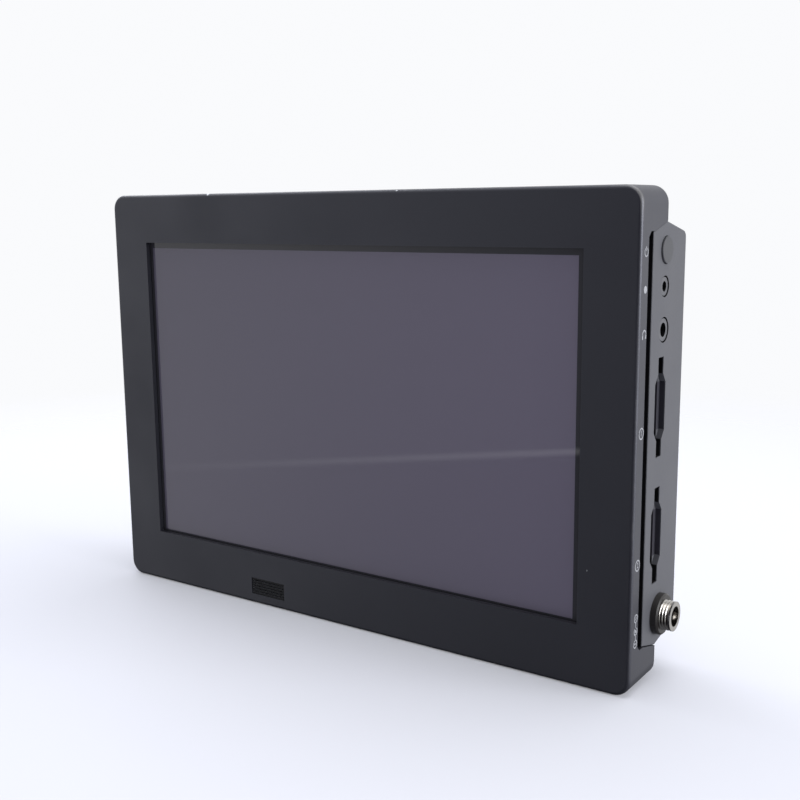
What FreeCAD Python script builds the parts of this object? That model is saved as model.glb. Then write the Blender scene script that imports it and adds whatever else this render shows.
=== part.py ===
import FreeCAD, Part
import Sketcher
import math
import os
import re

# Camera field monitor: a 7 inch display in a metal front frame, with a port plate on each
# side and a rear cover that holds two battery bays and a fan.
# X runs to the right as seen from the front, Y to the back and Z up. The origin is the mouth
# of the middle tripod thread in the bottom face, half way through the front frame's depth.

doc = FreeCAD.newDocument("field_monitor")

# Driving dimensions in millimetres
SIZES = {
    # Display
    "active_width": 150.8, "active_height": 94.2,
    "screen_border": 1.5, "screen_border_end": 1.15, "screen_rise": 0.9,
    "panel_side": 6.6, "panel_end": 5.15, "panel_gap": 0.55,
    "glass_overlap": 2.0, "glass_thickness": 1.1,
    "gasket_thickness": 0.3, "gasket_width": 1.5,
    "cell_thickness": 1.2, "backlight_thickness": 1.4,
    # Front frame
    "bezel_depth": 17.0, "frame_margin": 12.0, "corner_radius": 4.5, "edge_radius": 1.0,
    "rear_edge_radius": 0.5, "lip_thickness": 1.5, "side_wall": 5.0, "frame_wall": 2.5,
    "rear_flange": 2.0, "post_width": 4.2, "post_height": 6.0, "post_spacing": 40.0,
    "groove_front": 4.6, "groove_width": 3.6, "groove_depth": 2.5, "groove_round": 1.4,
    "ledge_width": 1.5, "fit_gap": 0.15,
    # Tripod threads
    "thread_radius": 3.225, "insert_radius": 4.6, "thread_spacing": 60.0,
    "boss_width": 13.0, "boss_floor": 2.0, "boss_clearance": 1.0,
    # Speaker
    "speaker_offset": 29.3, "speaker_height": 5.75, "grille_width": 13.4, "grille_height": 5.3,
    "grille_recess": 0.2, "grille_slot": 0.45, "grille_pitch": 0.9,
    "speaker_margin": 0.4, "speaker_depth": 3.2,
    # Rear block
    "block_depth": 13.2, "block_margin": 8.7, "block_rise": 0.05, "front_taper": 2.4,
    "rear_taper": 3.0, "rear_round": 2.0, "case_wall": 2.0, "plate_inset": 0.2, "plate_edge": 0.3,
    "lug_length": 6.0, "lug_depth": 5.0, "lug_height": 4.8,
    "vent_width": 2.4, "vent_pitch": 5.6, "vent_start": 7.5, "vent_length": 7.0, "vent_inset": 2.2,
    # Middle frame, board and screws
    "tray_thickness": 1.2, "tray_margin": 0.3, "tray_side_gap": 0.75,
    "small_screw_radius": 1.0, "small_head_radius": 1.8, "small_head_height": 1.2,
    "small_screw_length": 4.0, "screw_gap": 0.05,
    "standoff_height": 5.6, "standoff_radius": 2.6,
    "board_thickness": 1.6, "board_margin": 1.5, "board_side_gap": 0.75,
    "pillar_radius": 3.2, "pillar_gap": 0.3, "pillar_inset": 5.0,
    "case_screw_radius": 1.25, "case_head_radius": 2.3, "case_head_height": 1.5,
    "case_screw_grip": 5.0, "head_recess": 0.2,
    "flex_offset": 35.0, "flex_width": 20.0, "flex_thickness": 0.3, "flex_drop": 1.6,
    "flex_socket_height": 3.0, "flex_socket_depth": 1.2, "flex_socket_margin": 1.0,
    # Cooling
    "fan_size": 40.0, "fan_depth": 7.0, "fan_rise": 1.7, "fan_bore": 19.0, "fan_hole_offset": 16.0,
    "fan_clearance": 0.5, "strut_width": 2.4, "strut_depth": 1.0, "bearing_radius": 2.4,
    "shaft_radius": 1.0, "running_gap": 0.05, "hub_radius": 8.5, "hub_wall": 1.0, "hub_play": 0.3,
    "blade_tip_gap": 0.8, "blade_thickness": 0.8, "blade_chord": 5.2,
    "chip_width": 25.0, "chip_height": 1.6, "pad_thickness": 0.5,
    "sink_width": 42.0, "sink_base": 1.5, "fin_thickness": 1.0,
    "grille_radius": 17.0, "air_slot": 2.4, "air_pitch": 4.6,
    # Battery bays
    "bay_width": 41.0, "bay_height": 84.0, "bay_rise": 1.7, "port_room": 15.25, "bay_depth": 7.0,
    "bay_wall": 2.0, "bay_floor": 1.8, "bay_clearance": 0.5, "battery_plate": 2.0,
    "hook_height": 2.6, "hook_width": 1.6, "hook_reach": 1.3, "hook_roof": 1.1, "hook_length": 9.0,
    "hook_spread": 19.0, "hook_drop": 4.0,
    "terminal_width": 26.0, "terminal_length": 7.0, "terminal_height": 3.2, "terminal_inset": 1.5,
    "blade_spread": 9.0, "blade_width": 0.8, "blade_reach": 4.5, "blade_height": 2.0,
    "plate_screw_inset": 3.5, "plate_screw_length": 3.3,
    "catch_width": 14.0, "catch_length": 8.0, "catch_proud": 2.5, "catch_inset": 2.2,
    "catch_flange": 1.0, "catch_lip": 0.9, "catch_travel": 2.5, "catch_lead": 0.6,
    "well_floor": 1.3, "well_spare": 2.2, "catch_coil": 2.6, "catch_wire": 0.4,
    # Right port plate
    "button_drop": 7.25, "button_radius": 3.4, "button_proud": 0.5, "button_bevel": 0.15,
    "button_flange": 0.8, "button_lip": 0.9, "button_travel": 0.6,
    "stem_radius": 1.2, "stem_length": 2.0, "dome_radius": 1.6, "dome_rest": 0.6,
    "switch_height": 5.5, "switch_width": 6.0, "switch_length": 6.0,
    "remote_pitch": 9.0, "remote_radius": 2.35, "remote_bore": 1.3, "remote_width": 5.0,
    "phones_pitch": 10.9, "phones_radius": 2.9, "phones_bore": 1.8, "phones_width": 6.2,
    "jack_height": 5.0, "jack_length": 13.0, "jack_recess": 0.2, "jack_gap": 0.35, "jack_floor": 1.5,
    "card_width": 24.4, "card_slot": 3.4, "card_slot_length": 25.7, "card_shift": 1.2,
    "card_thickness": 2.2, "card_depth": 29.5, "socket_height": 2.9,
    "socket_wall": 1.0, "scoop_width": 7.0, "scoop_flat": 12.4, "scoop_length": 17.0,
    "scoop_depth": 1.5, "slide_length": 2.5, "slide_travel": 2.0, "slide_coil": 0.8,
    "slide_wire": 0.2, "slide_spare": 2.3,
    "dc_rise": 8.5, "dc_radius": 3.97, "dc_bore": 2.7, "dc_reach": 4.6, "dc_body": 4.4,
    "dc_body_length": 12.0, "dc_bore_depth": 8.0, "dc_nut_radius": 5.5, "dc_nut_height": 2.0,
    "dc_nut_bevel": 0.4, "dc_pin_radius": 1.0, "dc_pin_inset": 1.4, "dc_insulator": 1.5,
    "thread_pitch": 0.8, "thread_depth": 0.4, "thread_lead": 0.5,
    # Left port plate
    "left_margin": 5.8, "left_foot": 3.2, "coax_flats": 14.0, "coax_nut_height": 2.3,
    "coax_bushing": 5.0, "coax_barrel": 4.8, "coax_bore": 4.1, "coax_reach": 10.4,
    "coax_bore_depth": 8.6, "coax_flange": 6.2, "coax_flange_depth": 3.0, "coax_body": 5.0,
    "coax_body_length": 9.0, "coax_lug": 1.0, "coax_lug_reach": 0.9, "coax_lug_inset": 3.4,
    "coax_insulator": 3.0, "coax_pin": 0.7, "coax_pin_inset": 1.2,
    "video_width": 15.0, "video_height": 5.6, "video_bevel": 1.7, "video_wall": 0.5,
    "video_length": 12.0, "video_back": 1.5, "video_proud": 0.1, "tongue_width": 10.5,
    "tongue_thickness": 1.2, "tongue_inset": 1.2,
    "audio_rim": 5.5, "audio_rim_height": 1.1, "audio_radius": 5.0, "audio_bore": 4.3,
    "audio_depth": 9.0, "audio_back": 2.0, "audio_pin": 0.5, "audio_pin_ring": 2.2,
    "audio_pin_inset": 1.5,
    "data_width": 9.0, "data_height": 3.2, "data_wall": 0.4, "data_length": 8.0, "data_back": 1.0,
    "data_tongue": 6.6, "data_tongue_thickness": 0.7, "data_tongue_inset": 0.8,
}
sheet = doc.addObject("Spreadsheet::Sheet", "dims")
for row, (alias, size) in enumerate(SIZES.items(), start=1):
    sheet.set(f"A{row}", alias)
    sheet.set(f"B{row}", str(size))
    sheet.setAlias(f"B{row}", alias)
doc.recompute()

# Counts and angles
TERMINAL_COUNT = 3
GRILLE_SLOTS = 5
VENTS_PER_ROW = 8
AIR_SLOTS = 7
FIN_COUNT = 9
BLADE_COUNT = 7
BLADE_TILT = 38
THREAD_RIDGES = 3
AUDIO_PINS = 3
COIL_TURNS = 3.5

# Share of a pan head's radius that is flat on top, and of its height that is straight
HEAD_FLAT = 0.75
HEAD_STRAIGHT = 0.6


# Expressions and helpers for the document's objects
def fx(text):
    """Turn an expression in plain size names into one that reads the sheet."""
    return re.sub(r"[a-z][a-z_]+", lambda word: ("dims." if word[0] in SIZES else "") + word[0], text)


def mm(text):
    """The present value of an expression."""
    return float(sheet.evalExpression(fx(text)))


def rect(u_low, u_high, v_low, v_high):
    """The four corners of an upright rectangle."""
    return [(u_low, v_low), (u_high, v_low), (u_high, v_high), (u_low, v_high)]


def around(u, v, width, height):
    """The four corners of a rectangle about a middle point."""
    half_wide = f"({width}) / 2"
    half_tall = f"({height}) / 2"
    return rect(f"{u} - {half_wide}", f"{u} + {half_wide}", f"{v} - {half_tall}", f"{v} + {half_tall}")


nodes = []


def node(label, piece):
    """Name a finished sub-part and keep it for writing."""
    piece.Label = label
    nodes.append(piece)
    return piece


def new_body(label):
    return node(label, doc.addObject("PartDesign::Body", label))


def pin_point(sketch, geometry, point, u, v):
    """Hold a sketch point by two expressions from the sketch's origin."""
    for kind, place in (("DistanceX", u), ("DistanceY", v)):
        held = sketch.addConstraint(Sketcher.Constraint(kind, -1, 1, geometry, point, mm(place)))
        sketch.setExpression(f"Constraints[{held}]", fx(place))


def draw_outline(sketch, corners):
    first = sketch.GeometryCount
    points = [FreeCAD.Vector(mm(u), mm(v), 0) for u, v in corners]
    count = len(points)
    for i in range(count):
        sketch.addGeometry(Part.LineSegment(points[i], points[(i + 1) % count]), False)
    for i in range(count):
        sketch.addConstraint(Sketcher.Constraint("Coincident", first + i, 2, first + (i + 1) % count, 1))
    for i, (u, v) in enumerate(corners):
        pin_point(sketch, first + i, 1, u, v)


def draw_round(sketch, u, v, radius):
    centre = FreeCAD.Vector(mm(u), mm(v), 0)
    ring = sketch.addGeometry(Part.Circle(centre, FreeCAD.Vector(0, 0, 1), mm(radius)), False)
    pin_point(sketch, ring, 3, u, v)
    held = sketch.addConstraint(Sketcher.Constraint("Radius", ring, mm(radius)))
    sketch.setExpression(f"Constraints[{held}]", fx(radius))


# The front-to-back plane's normal points forward, the other two point along their plus axis
PLANE_SIGN = {"XZ_Plane": -1, "YZ_Plane": 1, "XY_Plane": 1}


def sketch_on(body, plane, start, outlines, rounds):
    sketch = body.newObject("Sketcher::SketchObject", "profile")
    support = [feature for feature in body.Origin.OriginFeatures if feature.Role == plane][0]
    sketch.AttachmentSupport = [(support, "")]
    sketch.MapMode = "FlatFace"
    sketch.setExpression("AttachmentOffset.Base.z", fx(f"{PLANE_SIGN[plane]} * ({start})"))
    for corners in outlines:
        draw_outline(sketch, corners)
    for u, v, radius in rounds:
        draw_round(sketch, u, v, radius)
    return sketch


def add(body, plane, start, end, outlines=(), rounds=()):
    """Pad outlines from one place to another along the plane's plus axis."""
    sketch = sketch_on(body, plane, start, outlines, rounds)
    pad = body.newObject("PartDesign::Pad", "pad")
    pad.Profile = sketch
    pad.Reversed = PLANE_SIGN[plane] < 0
    pad.setExpression("Length", fx(f"({end}) - ({start})"))


def take(body, plane, start, end, outlines=(), rounds=()):
    """Pocket outlines from one place to another along the plane's plus axis."""
    sketch = sketch_on(body, plane, start, outlines, rounds)
    pocket = body.newObject("PartDesign::Pocket", "pocket")
    pocket.Profile = sketch
    pocket.Reversed = PLANE_SIGN[plane] > 0
    pocket.setExpression("Length", fx(f"({end}) - ({start})"))


def round_edges(body, radius, wanted):
    """Fillet the edges that a test picks."""
    doc.recompute()
    base = body.Tip
    picked = [f"Edge{i}" for i, edge in enumerate(base.Shape.Edges, start=1) if wanted(edge.BoundBox)]
    fillet = body.newObject("PartDesign::Fillet", "edge_round")
    fillet.Base = (base, picked)
    fillet.setExpression("Radius", fx(radius))


def near(value, place):
    return abs(value - mm(place)) < 1e-4


def place(piece, x, y, z):
    """Bind a piece's position to three expressions."""
    for axis, text in (("x", x), ("y", y), ("z", z)):
        piece.setExpression(f"Placement.Base.{axis}", fx(text))
    return piece


def block(x, y, z):
    """A box between two expressions along each axis."""
    piece = doc.addObject("Part::Box", "block")
    for side, (low, high) in (("Length", x), ("Width", y), ("Height", z)):
        piece.setExpression(side, fx(f"({high}) - ({low})"))
    return place(piece, x[0], y[0], z[0])


AXIS_TURN = {
    "X": FreeCAD.Rotation(FreeCAD.Vector(0, 1, 0), 90),
    "Y": FreeCAD.Rotation(FreeCAD.Vector(1, 0, 0), -90),
    "Z": FreeCAD.Rotation(),
}


def along(axis, start, centre):
    """A point given by its place along an axis and the two other coordinates."""
    first, second = centre
    return {"X": (start, first, second), "Y": (first, start, second), "Z": (first, second, start)}[axis]


def rod(axis, start, end, centre, radius):
    """A cylinder along an axis."""
    piece = doc.addObject("Part::Cylinder", "rod")
    piece.setExpression("Radius", fx(radius))
    piece.setExpression("Height", fx(f"({end}) - ({start})"))
    piece.Placement = FreeCAD.Placement(FreeCAD.Vector(), AXIS_TURN[axis])
    return place(piece, *along(axis, start, centre))


def fuse(*pieces):
    joined = doc.addObject("Part::MultiFuse", "joined")
    joined.Shapes = list(pieces)
    joined.Refine = True
    return joined


def cut(base, *tools):
    trimmed = doc.addObject("Part::Cut", "trimmed")
    trimmed.Base = base
    trimmed.Tool = tools[0] if len(tools) == 1 else fuse(*tools)
    trimmed.Refine = True
    return trimmed


def group(label, pieces):
    """Like pieces that share one node as separate solids."""
    together = doc.addObject("Part::Compound", label)
    together.Links = list(pieces)
    return node(label, together)


def turned(profile, axis, start, centre, direction=1):
    """A turned piece: a profile of (distance along the axis, radius) corners spun about the axis."""
    body = doc.addObject("PartDesign::Body", "turned")
    sketch = sketch_on(body, "XY_Plane", "0", [profile], [])
    spin = body.newObject("PartDesign::Revolution", "spin")
    spin.Profile = sketch
    spin.ReferenceAxis = ([f for f in body.Origin.OriginFeatures if f.Role == "X_Axis"][0], [""])
    spin.Angle = 360
    ahead = {"X": FreeCAD.Vector(1, 0, 0), "Y": FreeCAD.Vector(0, 1, 0), "Z": FreeCAD.Vector(0, 0, 1)}[axis]
    body.Placement = FreeCAD.Placement(
        FreeCAD.Vector(), FreeCAD.Rotation(FreeCAD.Vector(1, 0, 0), ahead * direction))
    return place(body, *along(axis, start, centre))


def screw(axis, seat, centre, direction, head, shank):
    """A pan head screw: head is (radius, height) and shank is (radius, length) expressions."""
    head_radius, head_height = head
    shank_radius, shank_length = shank
    profile = [("0", "0"), (head_height, "0"), (head_height, f"{head_radius} * {HEAD_FLAT}"),
               (f"{head_height} * {HEAD_STRAIGHT}", head_radius), ("0", head_radius), ("0", shank_radius),
               (f"-({shank_length})", shank_radius), (f"-({shank_length})", "0")]
    return turned(profile, axis, seat, centre, direction)


def coil(label, axis, start, end, centre, radius, wire):
    """A compression spring of round wire between two places along an axis."""
    spine = doc.addObject("Part::Helix", "spine")
    spine.setExpression("Radius", fx(radius))
    spine.setExpression("Height", fx(f"({end}) - ({start}) - 2 * {wire}"))
    spine.setExpression("Pitch", fx(f"(({end}) - ({start}) - 2 * {wire}) / {COIL_TURNS}"))
    section = doc.addObject("Part::Circle", "wire")
    section.setExpression("Radius", fx(wire))
    section.Placement = FreeCAD.Placement(
        FreeCAD.Vector(), FreeCAD.Rotation(FreeCAD.Vector(1, 0, 0), 90))
    section.setExpression("Placement.Base.x", fx(radius))
    spring = doc.addObject("Part::Sweep", label)
    spring.Sections = [section]
    spring.Spine = (spine, ["Edge1"])
    spring.Solid = True
    spring.Frenet = True
    spring.Placement = FreeCAD.Placement(FreeCAD.Vector(), AXIS_TURN[axis])
    place(spring, *along(axis, f"{start} + {wire}", centre))
    return node(label, spring)


# Places shared by more than one piece
half_width = "(active_width / 2 + panel_side + panel_gap + post_width + side_wall)"
body_height = "(active_height + 2 * panel_end + 2 * frame_margin)"
middle = f"({body_height} / 2)"
front = "(-bezel_depth / 2)"
frame_rear = "(bezel_depth / 2)"
back = "(bezel_depth / 2 + block_depth)"
rear_inner = f"({back} - case_wall)"
lip_rear = f"({front} + lip_thickness)"
glass_front = f"({lip_rear} + gasket_thickness)"
glass_rear = f"({glass_front} + glass_thickness)"
cell_rear = f"({glass_rear} + cell_thickness)"
tray_front = f"({cell_rear} + backlight_thickness)"
tray_rear = f"({tray_front} + tray_thickness)"
board_front = f"({tray_rear} + standoff_height)"
board_rear = f"({board_front} + board_thickness)"
inner_side = f"({half_width} - side_wall)"
plate_inner = f"({half_width} - groove_depth)"
plate_outer = f"({half_width} - plate_inset)"

screen_middle = f"({middle} + screen_rise)"
opening_width = "(active_width + 2 * screen_border)"
opening_height = "(active_height + 2 * screen_border_end)"
panel_width = "(active_width + 2 * panel_side)"
panel_height = "(active_height + 2 * panel_end)"
panel_low = f"({screen_middle} - {panel_height} / 2)"
tray_low = f"({panel_low} - tray_margin)"
tray_high = f"({screen_middle} + {panel_height} / 2 + tray_margin)"
tray_side = f"({inner_side} - tray_side_gap)"
insert_length = f"({body_height} - {tray_high} - boss_floor - boss_clearance)"
thread_places = [f"{k} * thread_spacing" for k in (-1, 0, 1)]
post_places = [(f"{side} * ({inner_side} - post_width / 2)", f"{screen_middle} + {k} * post_spacing")
               for side in (-1, 1) for k in (-1, 0, 1)]

block_middle = f"({middle} + block_rise)"
block_half = f"({body_height} / 2 - block_margin)"
low_mid = f"({block_middle} - {block_half})"
top_mid = f"({block_middle} + {block_half})"
low_front = f"({low_mid} + front_taper)"
top_front = f"({top_mid} - front_taper)"
low_rear = f"({low_mid} + rear_taper)"
top_rear = f"({top_mid} - rear_taper)"
groove_y = f"({front} + groove_front)"
plate_y = f"({groove_y} + groove_width)"

# Battery bays half way between the fan and the ports, with screw pillars beside them and between them
bay_offset = f"((fan_size / 2 + {plate_inner} - port_room) / 2)"
bay_z = f"({block_middle} + bay_rise)"
pillar_offset = f"({bay_offset} + bay_width / 2 + bay_wall + pillar_gap + pillar_radius)"
pillar_places = [(f"{k} * {pillar_offset}", z) for k in (-1, 0, 1)
                 for z in (f"({low_rear} + pillar_inset)", f"({top_rear} - pillar_inset)")]

# Heights of the ports on the right plate, counted from the block's two ends
button_z = f"({top_mid} - button_drop)"
remote_z = f"({button_z} - remote_pitch)"
phones_z = f"({remote_z} - phones_pitch)"
dc_z = f"({low_mid} + dc_rise)"
card_share = f"(({phones_z} - {dc_z} - 2 * card_slot_length) / 3 + card_slot_length / 2)"
card_places = [("upper", f"({phones_z} - {card_share} + card_shift)"),
               ("lower", f"({dc_z} + {card_share} + card_shift)")]
button_y = f"({board_rear} + switch_height / 2)"
jack_y = f"({board_rear} + jack_height / 2)"
card_y = f"({board_rear} + socket_height / 2)"
dc_y = f"({board_rear} + dc_body + fit_gap)"

# Heights of the sockets on the left plate, spread with equal gaps between its two ends
coax_reach_z = f"(coax_flats / {math.cos(math.radians(30)):.6f})"
left_sizes = [("coax_in", coax_reach_z), ("coax_out", coax_reach_z),
              ("video_in", "video_width"), ("video_out", "video_width"),
              ("audio_one", "(2 * audio_rim)"), ("audio_two", "(2 * audio_rim)"), ("data", "data_width")]
left_span = f"({top_mid} - {low_mid} - left_margin - left_foot)"
left_room = " - ".join([left_span] + [size for name, size in left_sizes])
left_gap = f"(({left_room}) / {len(left_sizes) - 1})"
left_z = {}
for order, (name, size) in enumerate(left_sizes):
    passed = [taken for other, taken in left_sizes[:order]]
    upper_edge = " - ".join([f"{top_mid} - left_margin - {order} * {left_gap}"] + passed)
    left_z[name] = f"({upper_edge} - {size} / 2)"
round_y = f"({board_rear} + coax_flange + fit_gap)"
video_y = f"({board_rear} + video_height / 2)"
audio_y = f"({board_rear} + audio_radius + fit_gap)"
data_y = f"({board_rear} + data_height / 2)"

# Lugs that hold the port plates: beside the data socket, half way up and between the coaxial jacks
lug_y = f"({rear_inner} - lug_depth / 2)"
coax_middle = f"(({left_z['coax_in']} + {left_z['coax_out']}) / 2)"
lug_places = [left_z["data"], block_middle, coax_middle]


# Front frame: cast light alloy, with the screen opening, a shadow gap and notch on each side
# for the port plates, thread bosses top and bottom and posts for the middle frame
frame = new_body("front_frame")
add(frame, "XZ_Plane", front, frame_rear, [rect(f"-{half_width}", half_width, "0", body_height)])
round_edges(frame, "corner_radius", lambda box: box.YLength > 1)
round_edges(frame, "edge_radius", lambda box: near(box.YMin, front) and near(box.YMax, front))
round_edges(frame, "rear_edge_radius", lambda box: near(box.YMin, frame_rear) and near(box.YMax, frame_rear))
take(frame, "XZ_Plane", front, lip_rear, [around("0", screen_middle, opening_width, opening_height)])
take(frame, "XZ_Plane", lip_rear, f"{frame_rear} - rear_flange",
     [rect(f"-{inner_side}", inner_side, "frame_wall", f"{body_height} - frame_wall")])
take(frame, "XZ_Plane", f"{frame_rear} - rear_flange", frame_rear,
     [rect(f"-{inner_side}", inner_side, f"{low_mid} + case_wall", f"{top_mid} - case_wall")])

groove_outline = [
    (f"{groove_y} + groove_round", low_front), (plate_y, low_front), (frame_rear, low_mid),
    (frame_rear, top_mid), (plate_y, top_front), (f"{groove_y} + groove_round", top_front),
    (groove_y, f"{top_front} - groove_round"), (groove_y, f"{low_front} + groove_round")]
notch_outline = rect(f"{plate_y} + ledge_width", frame_rear, low_front, top_front)
for start, deep in ((f"-{half_width}", f"-{plate_inner}"), (plate_inner, half_width)):
    take(frame, "YZ_Plane", start, deep, [groove_outline])
for start, end in ((f"-{half_width}", f"-{inner_side}"), (inner_side, half_width)):
    take(frame, "YZ_Plane", start, end, [notch_outline])

boss_outlines = [rect(f"{x} - boss_width / 2", f"{x} + boss_width / 2", "-boss_width / 2",
                      f"{frame_rear} - rear_flange") for x in thread_places]
thread_rounds = [(x, "0", "insert_radius") for x in thread_places]
add(frame, "XY_Plane", "frame_wall", f"{insert_length} + boss_floor", boss_outlines)
add(frame, "XY_Plane", f"{body_height} - {insert_length} - boss_floor", f"{body_height} - frame_wall",
    boss_outlines)
take(frame, "XY_Plane", "0", insert_length, [], thread_rounds)
take(frame, "XY_Plane", f"{body_height} - {insert_length}", body_height, [], thread_rounds)

add(frame, "XZ_Plane", lip_rear, tray_front,
    [around(x, z, "post_width", "post_height") for x, z in post_places])
take(frame, "XZ_Plane", f"{tray_front} - small_screw_length + tray_thickness", tray_front, [],
     [(x, z, "small_screw_radius + screw_gap") for x, z in post_places])
take(frame, "XZ_Plane", front, lip_rear,
     [around("-speaker_offset", "speaker_height", "grille_width", "grille_height")])

# Tripod thread inserts: steel, pressed flush into the bosses, bored for a quarter inch screw
group("thread_inserts", [
    cut(rod("Z", low, high, (x, "0"), "insert_radius"), rod("Z", low, high, (x, "0"), "thread_radius"))
    for x in thread_places
    for low, high in (("0", insert_length), (f"{body_height} - {insert_length}", body_height))])

# Speaker: a slotted insert in the lower bezel with the driver behind it
grille = new_body("speaker_grille")
grille_place = ("-speaker_offset", "speaker_height")
add(grille, "XZ_Plane", f"{front} + grille_recess", lip_rear,
    [around(*grille_place, "grille_width - 2 * screw_gap", "grille_height - 2 * screw_gap")])
take(grille, "XZ_Plane", f"{front} + grille_recess", lip_rear,
     [around("-speaker_offset", f"speaker_height + {k - (GRILLE_SLOTS - 1) / 2} * grille_pitch",
             "grille_width - 2 * speaker_margin", "grille_slot") for k in range(GRILLE_SLOTS)])
driver = new_body("speaker")
add(driver, "XZ_Plane", lip_rear, f"{lip_rear} + speaker_depth",
    [around(*grille_place, "grille_width + 2 * speaker_margin", "grille_height + 2 * speaker_margin")])

# Display stack: gasket, cover glass, cell and backlight, clamped by the middle frame
gasket = new_body("glass_gasket")
glass_width = f"({opening_width} + 2 * glass_overlap)"
glass_height = f"({opening_height} + 2 * glass_overlap)"
add(gasket, "XZ_Plane", lip_rear, glass_front, [
    around("0", screen_middle, glass_width, glass_height),
    around("0", screen_middle, f"{glass_width} - 2 * gasket_width", f"{glass_height} - 2 * gasket_width")])
for label, near_face, far_face, wide, tall in (
        ("cover_glass", glass_front, glass_rear, glass_width, glass_height),
        ("display_cell", glass_rear, cell_rear, panel_width, panel_height),
        ("backlight", cell_rear, tray_front, panel_width, panel_height)):
    sheet_piece = new_body(label)
    add(sheet_piece, "XZ_Plane", near_face, far_face, [around("0", screen_middle, wide, tall)])

# Middle frame: a metal tray screwed to the frame's posts, with standoffs for the board
tray = new_body("mid_frame")
add(tray, "XZ_Plane", tray_front, tray_rear, [rect(f"-{tray_side}", tray_side, tray_low, tray_high)])
take(tray, "XZ_Plane", tray_front, tray_rear, [],
     [(x, z, "small_screw_radius + screw_gap") for x, z in post_places])
small_head = ("small_head_radius", "small_head_height")
group("mid_frame_screws", [
    screw("Y", tray_rear, spot, 1, small_head, ("small_screw_radius", "small_screw_length"))
    for spot in post_places])
group("standoffs", [
    cut(rod("Y", tray_rear, board_front, spot, "standoff_radius"),
        rod("Y", tray_rear, board_front, spot, "case_screw_radius + screw_gap"))
    for spot in pillar_places])

# Main board, and the flat flex that brings the picture from the display round the tray's edge
board = new_body("main_board")
board_side = f"({inner_side} - board_side_gap)"
add(board, "XZ_Plane", board_front, board_rear,
    [rect(f"-{board_side}", board_side, f"{low_mid} + case_wall + board_margin",
          f"{top_mid} - case_wall - board_margin")],
    [(x, z, "case_screw_radius + screw_gap") for x, z in pillar_places])
flex_run = f"({tray_low} - flex_drop)"
flex_socket_low = f"({low_mid} + case_wall + board_margin + flex_socket_margin)"
flex_socket_middle = f"({board_front} - flex_socket_depth / 2)"
flex_socket_half = "(flex_width / 2 + flex_socket_margin)"
node("flex_socket", block(
    (f"flex_offset - {flex_socket_half}", f"flex_offset + {flex_socket_half}"),
    (f"{board_front} - flex_socket_depth", board_front),
    (flex_socket_low, f"{flex_socket_low} + flex_socket_height")))
flex = new_body("display_flex")
flex_inner = f"({flex_run} + flex_thickness)"
flex_start = cell_rear
flex_end = f"({flex_socket_middle} + flex_thickness / 2)"
add(flex, "YZ_Plane", "flex_offset - flex_width / 2", "flex_offset + flex_width / 2", [[
    (flex_start, flex_run), (flex_end, flex_run), (flex_end, flex_socket_low),
    (f"{flex_end} - flex_thickness", flex_socket_low), (f"{flex_end} - flex_thickness", flex_inner),
    (f"{flex_start} + flex_thickness", flex_inner), (f"{flex_start} + flex_thickness", panel_low),
    (flex_start, panel_low)]])

# Cooling: processor, thermal pad, finned heat sink and an axial fan behind the rear grille
fan_z = f"({block_middle} + fan_rise)"
fan_front = f"({rear_inner} - fan_depth)"
chip_top = f"({board_rear} + chip_height)"
pad_top = f"({chip_top} + pad_thickness)"
fin_foot = f"({pad_top} + sink_base)"
fin_tip = f"({fan_front} - fan_clearance)"
for label, low, high, wide in (("processor", board_rear, chip_top, "chip_width"),
                               ("thermal_pad", chip_top, pad_top, "chip_width")):
    chip = new_body(label)
    add(chip, "XZ_Plane", low, high, [around("0", fan_z, wide, wide)])
sink = new_body("heat_sink")
add(sink, "XZ_Plane", pad_top, fin_foot, [around("0", fan_z, "sink_width", "sink_width")])
fin_pitch = f"((sink_width - fin_thickness) / {FIN_COUNT - 1})"
add(sink, "XZ_Plane", fin_foot, fin_tip,
    [around(f"{k - (FIN_COUNT - 1) / 2} * {fin_pitch}", fan_z, "fin_thickness", "sink_width")
     for k in range(FIN_COUNT)])

fan_spots = [(f"{i} * fan_hole_offset", f"({fan_z} + {k} * fan_hole_offset)")
             for i in (-1, 1) for k in (-1, 1)]
fan = new_body("fan_frame")
add(fan, "XZ_Plane", fan_front, rear_inner, [around("0", fan_z, "fan_size", "fan_size")],
    [(x, z, "small_screw_radius + screw_gap") for x, z in fan_spots])
take(fan, "XZ_Plane", fan_front, rear_inner, [], [("0", fan_z, "fan_bore")])
strut_rear = f"({fan_front} + strut_depth)"
strut_span = "(fan_bore + fan_size / 2)"
hub_front = f"({strut_rear} + hub_play)"
hub_rear = f"({rear_inner} - hub_play)"
bearing_rear = f"({hub_rear} - hub_wall - hub_play)"
add(fan, "XZ_Plane", fan_front, strut_rear, [around("0", fan_z, strut_span, "strut_width")])
add(fan, "XZ_Plane", fan_front, strut_rear, [around("0", fan_z, "strut_width", strut_span)])
add(fan, "XZ_Plane", fan_front, strut_rear, [], [("0", fan_z, "hub_radius")])
add(fan, "XZ_Plane", strut_rear, bearing_rear, [], [("0", fan_z, "bearing_radius")])
take(fan, "XZ_Plane", strut_rear, bearing_rear, [], [("0", fan_z, "shaft_radius + running_gap")])

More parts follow.
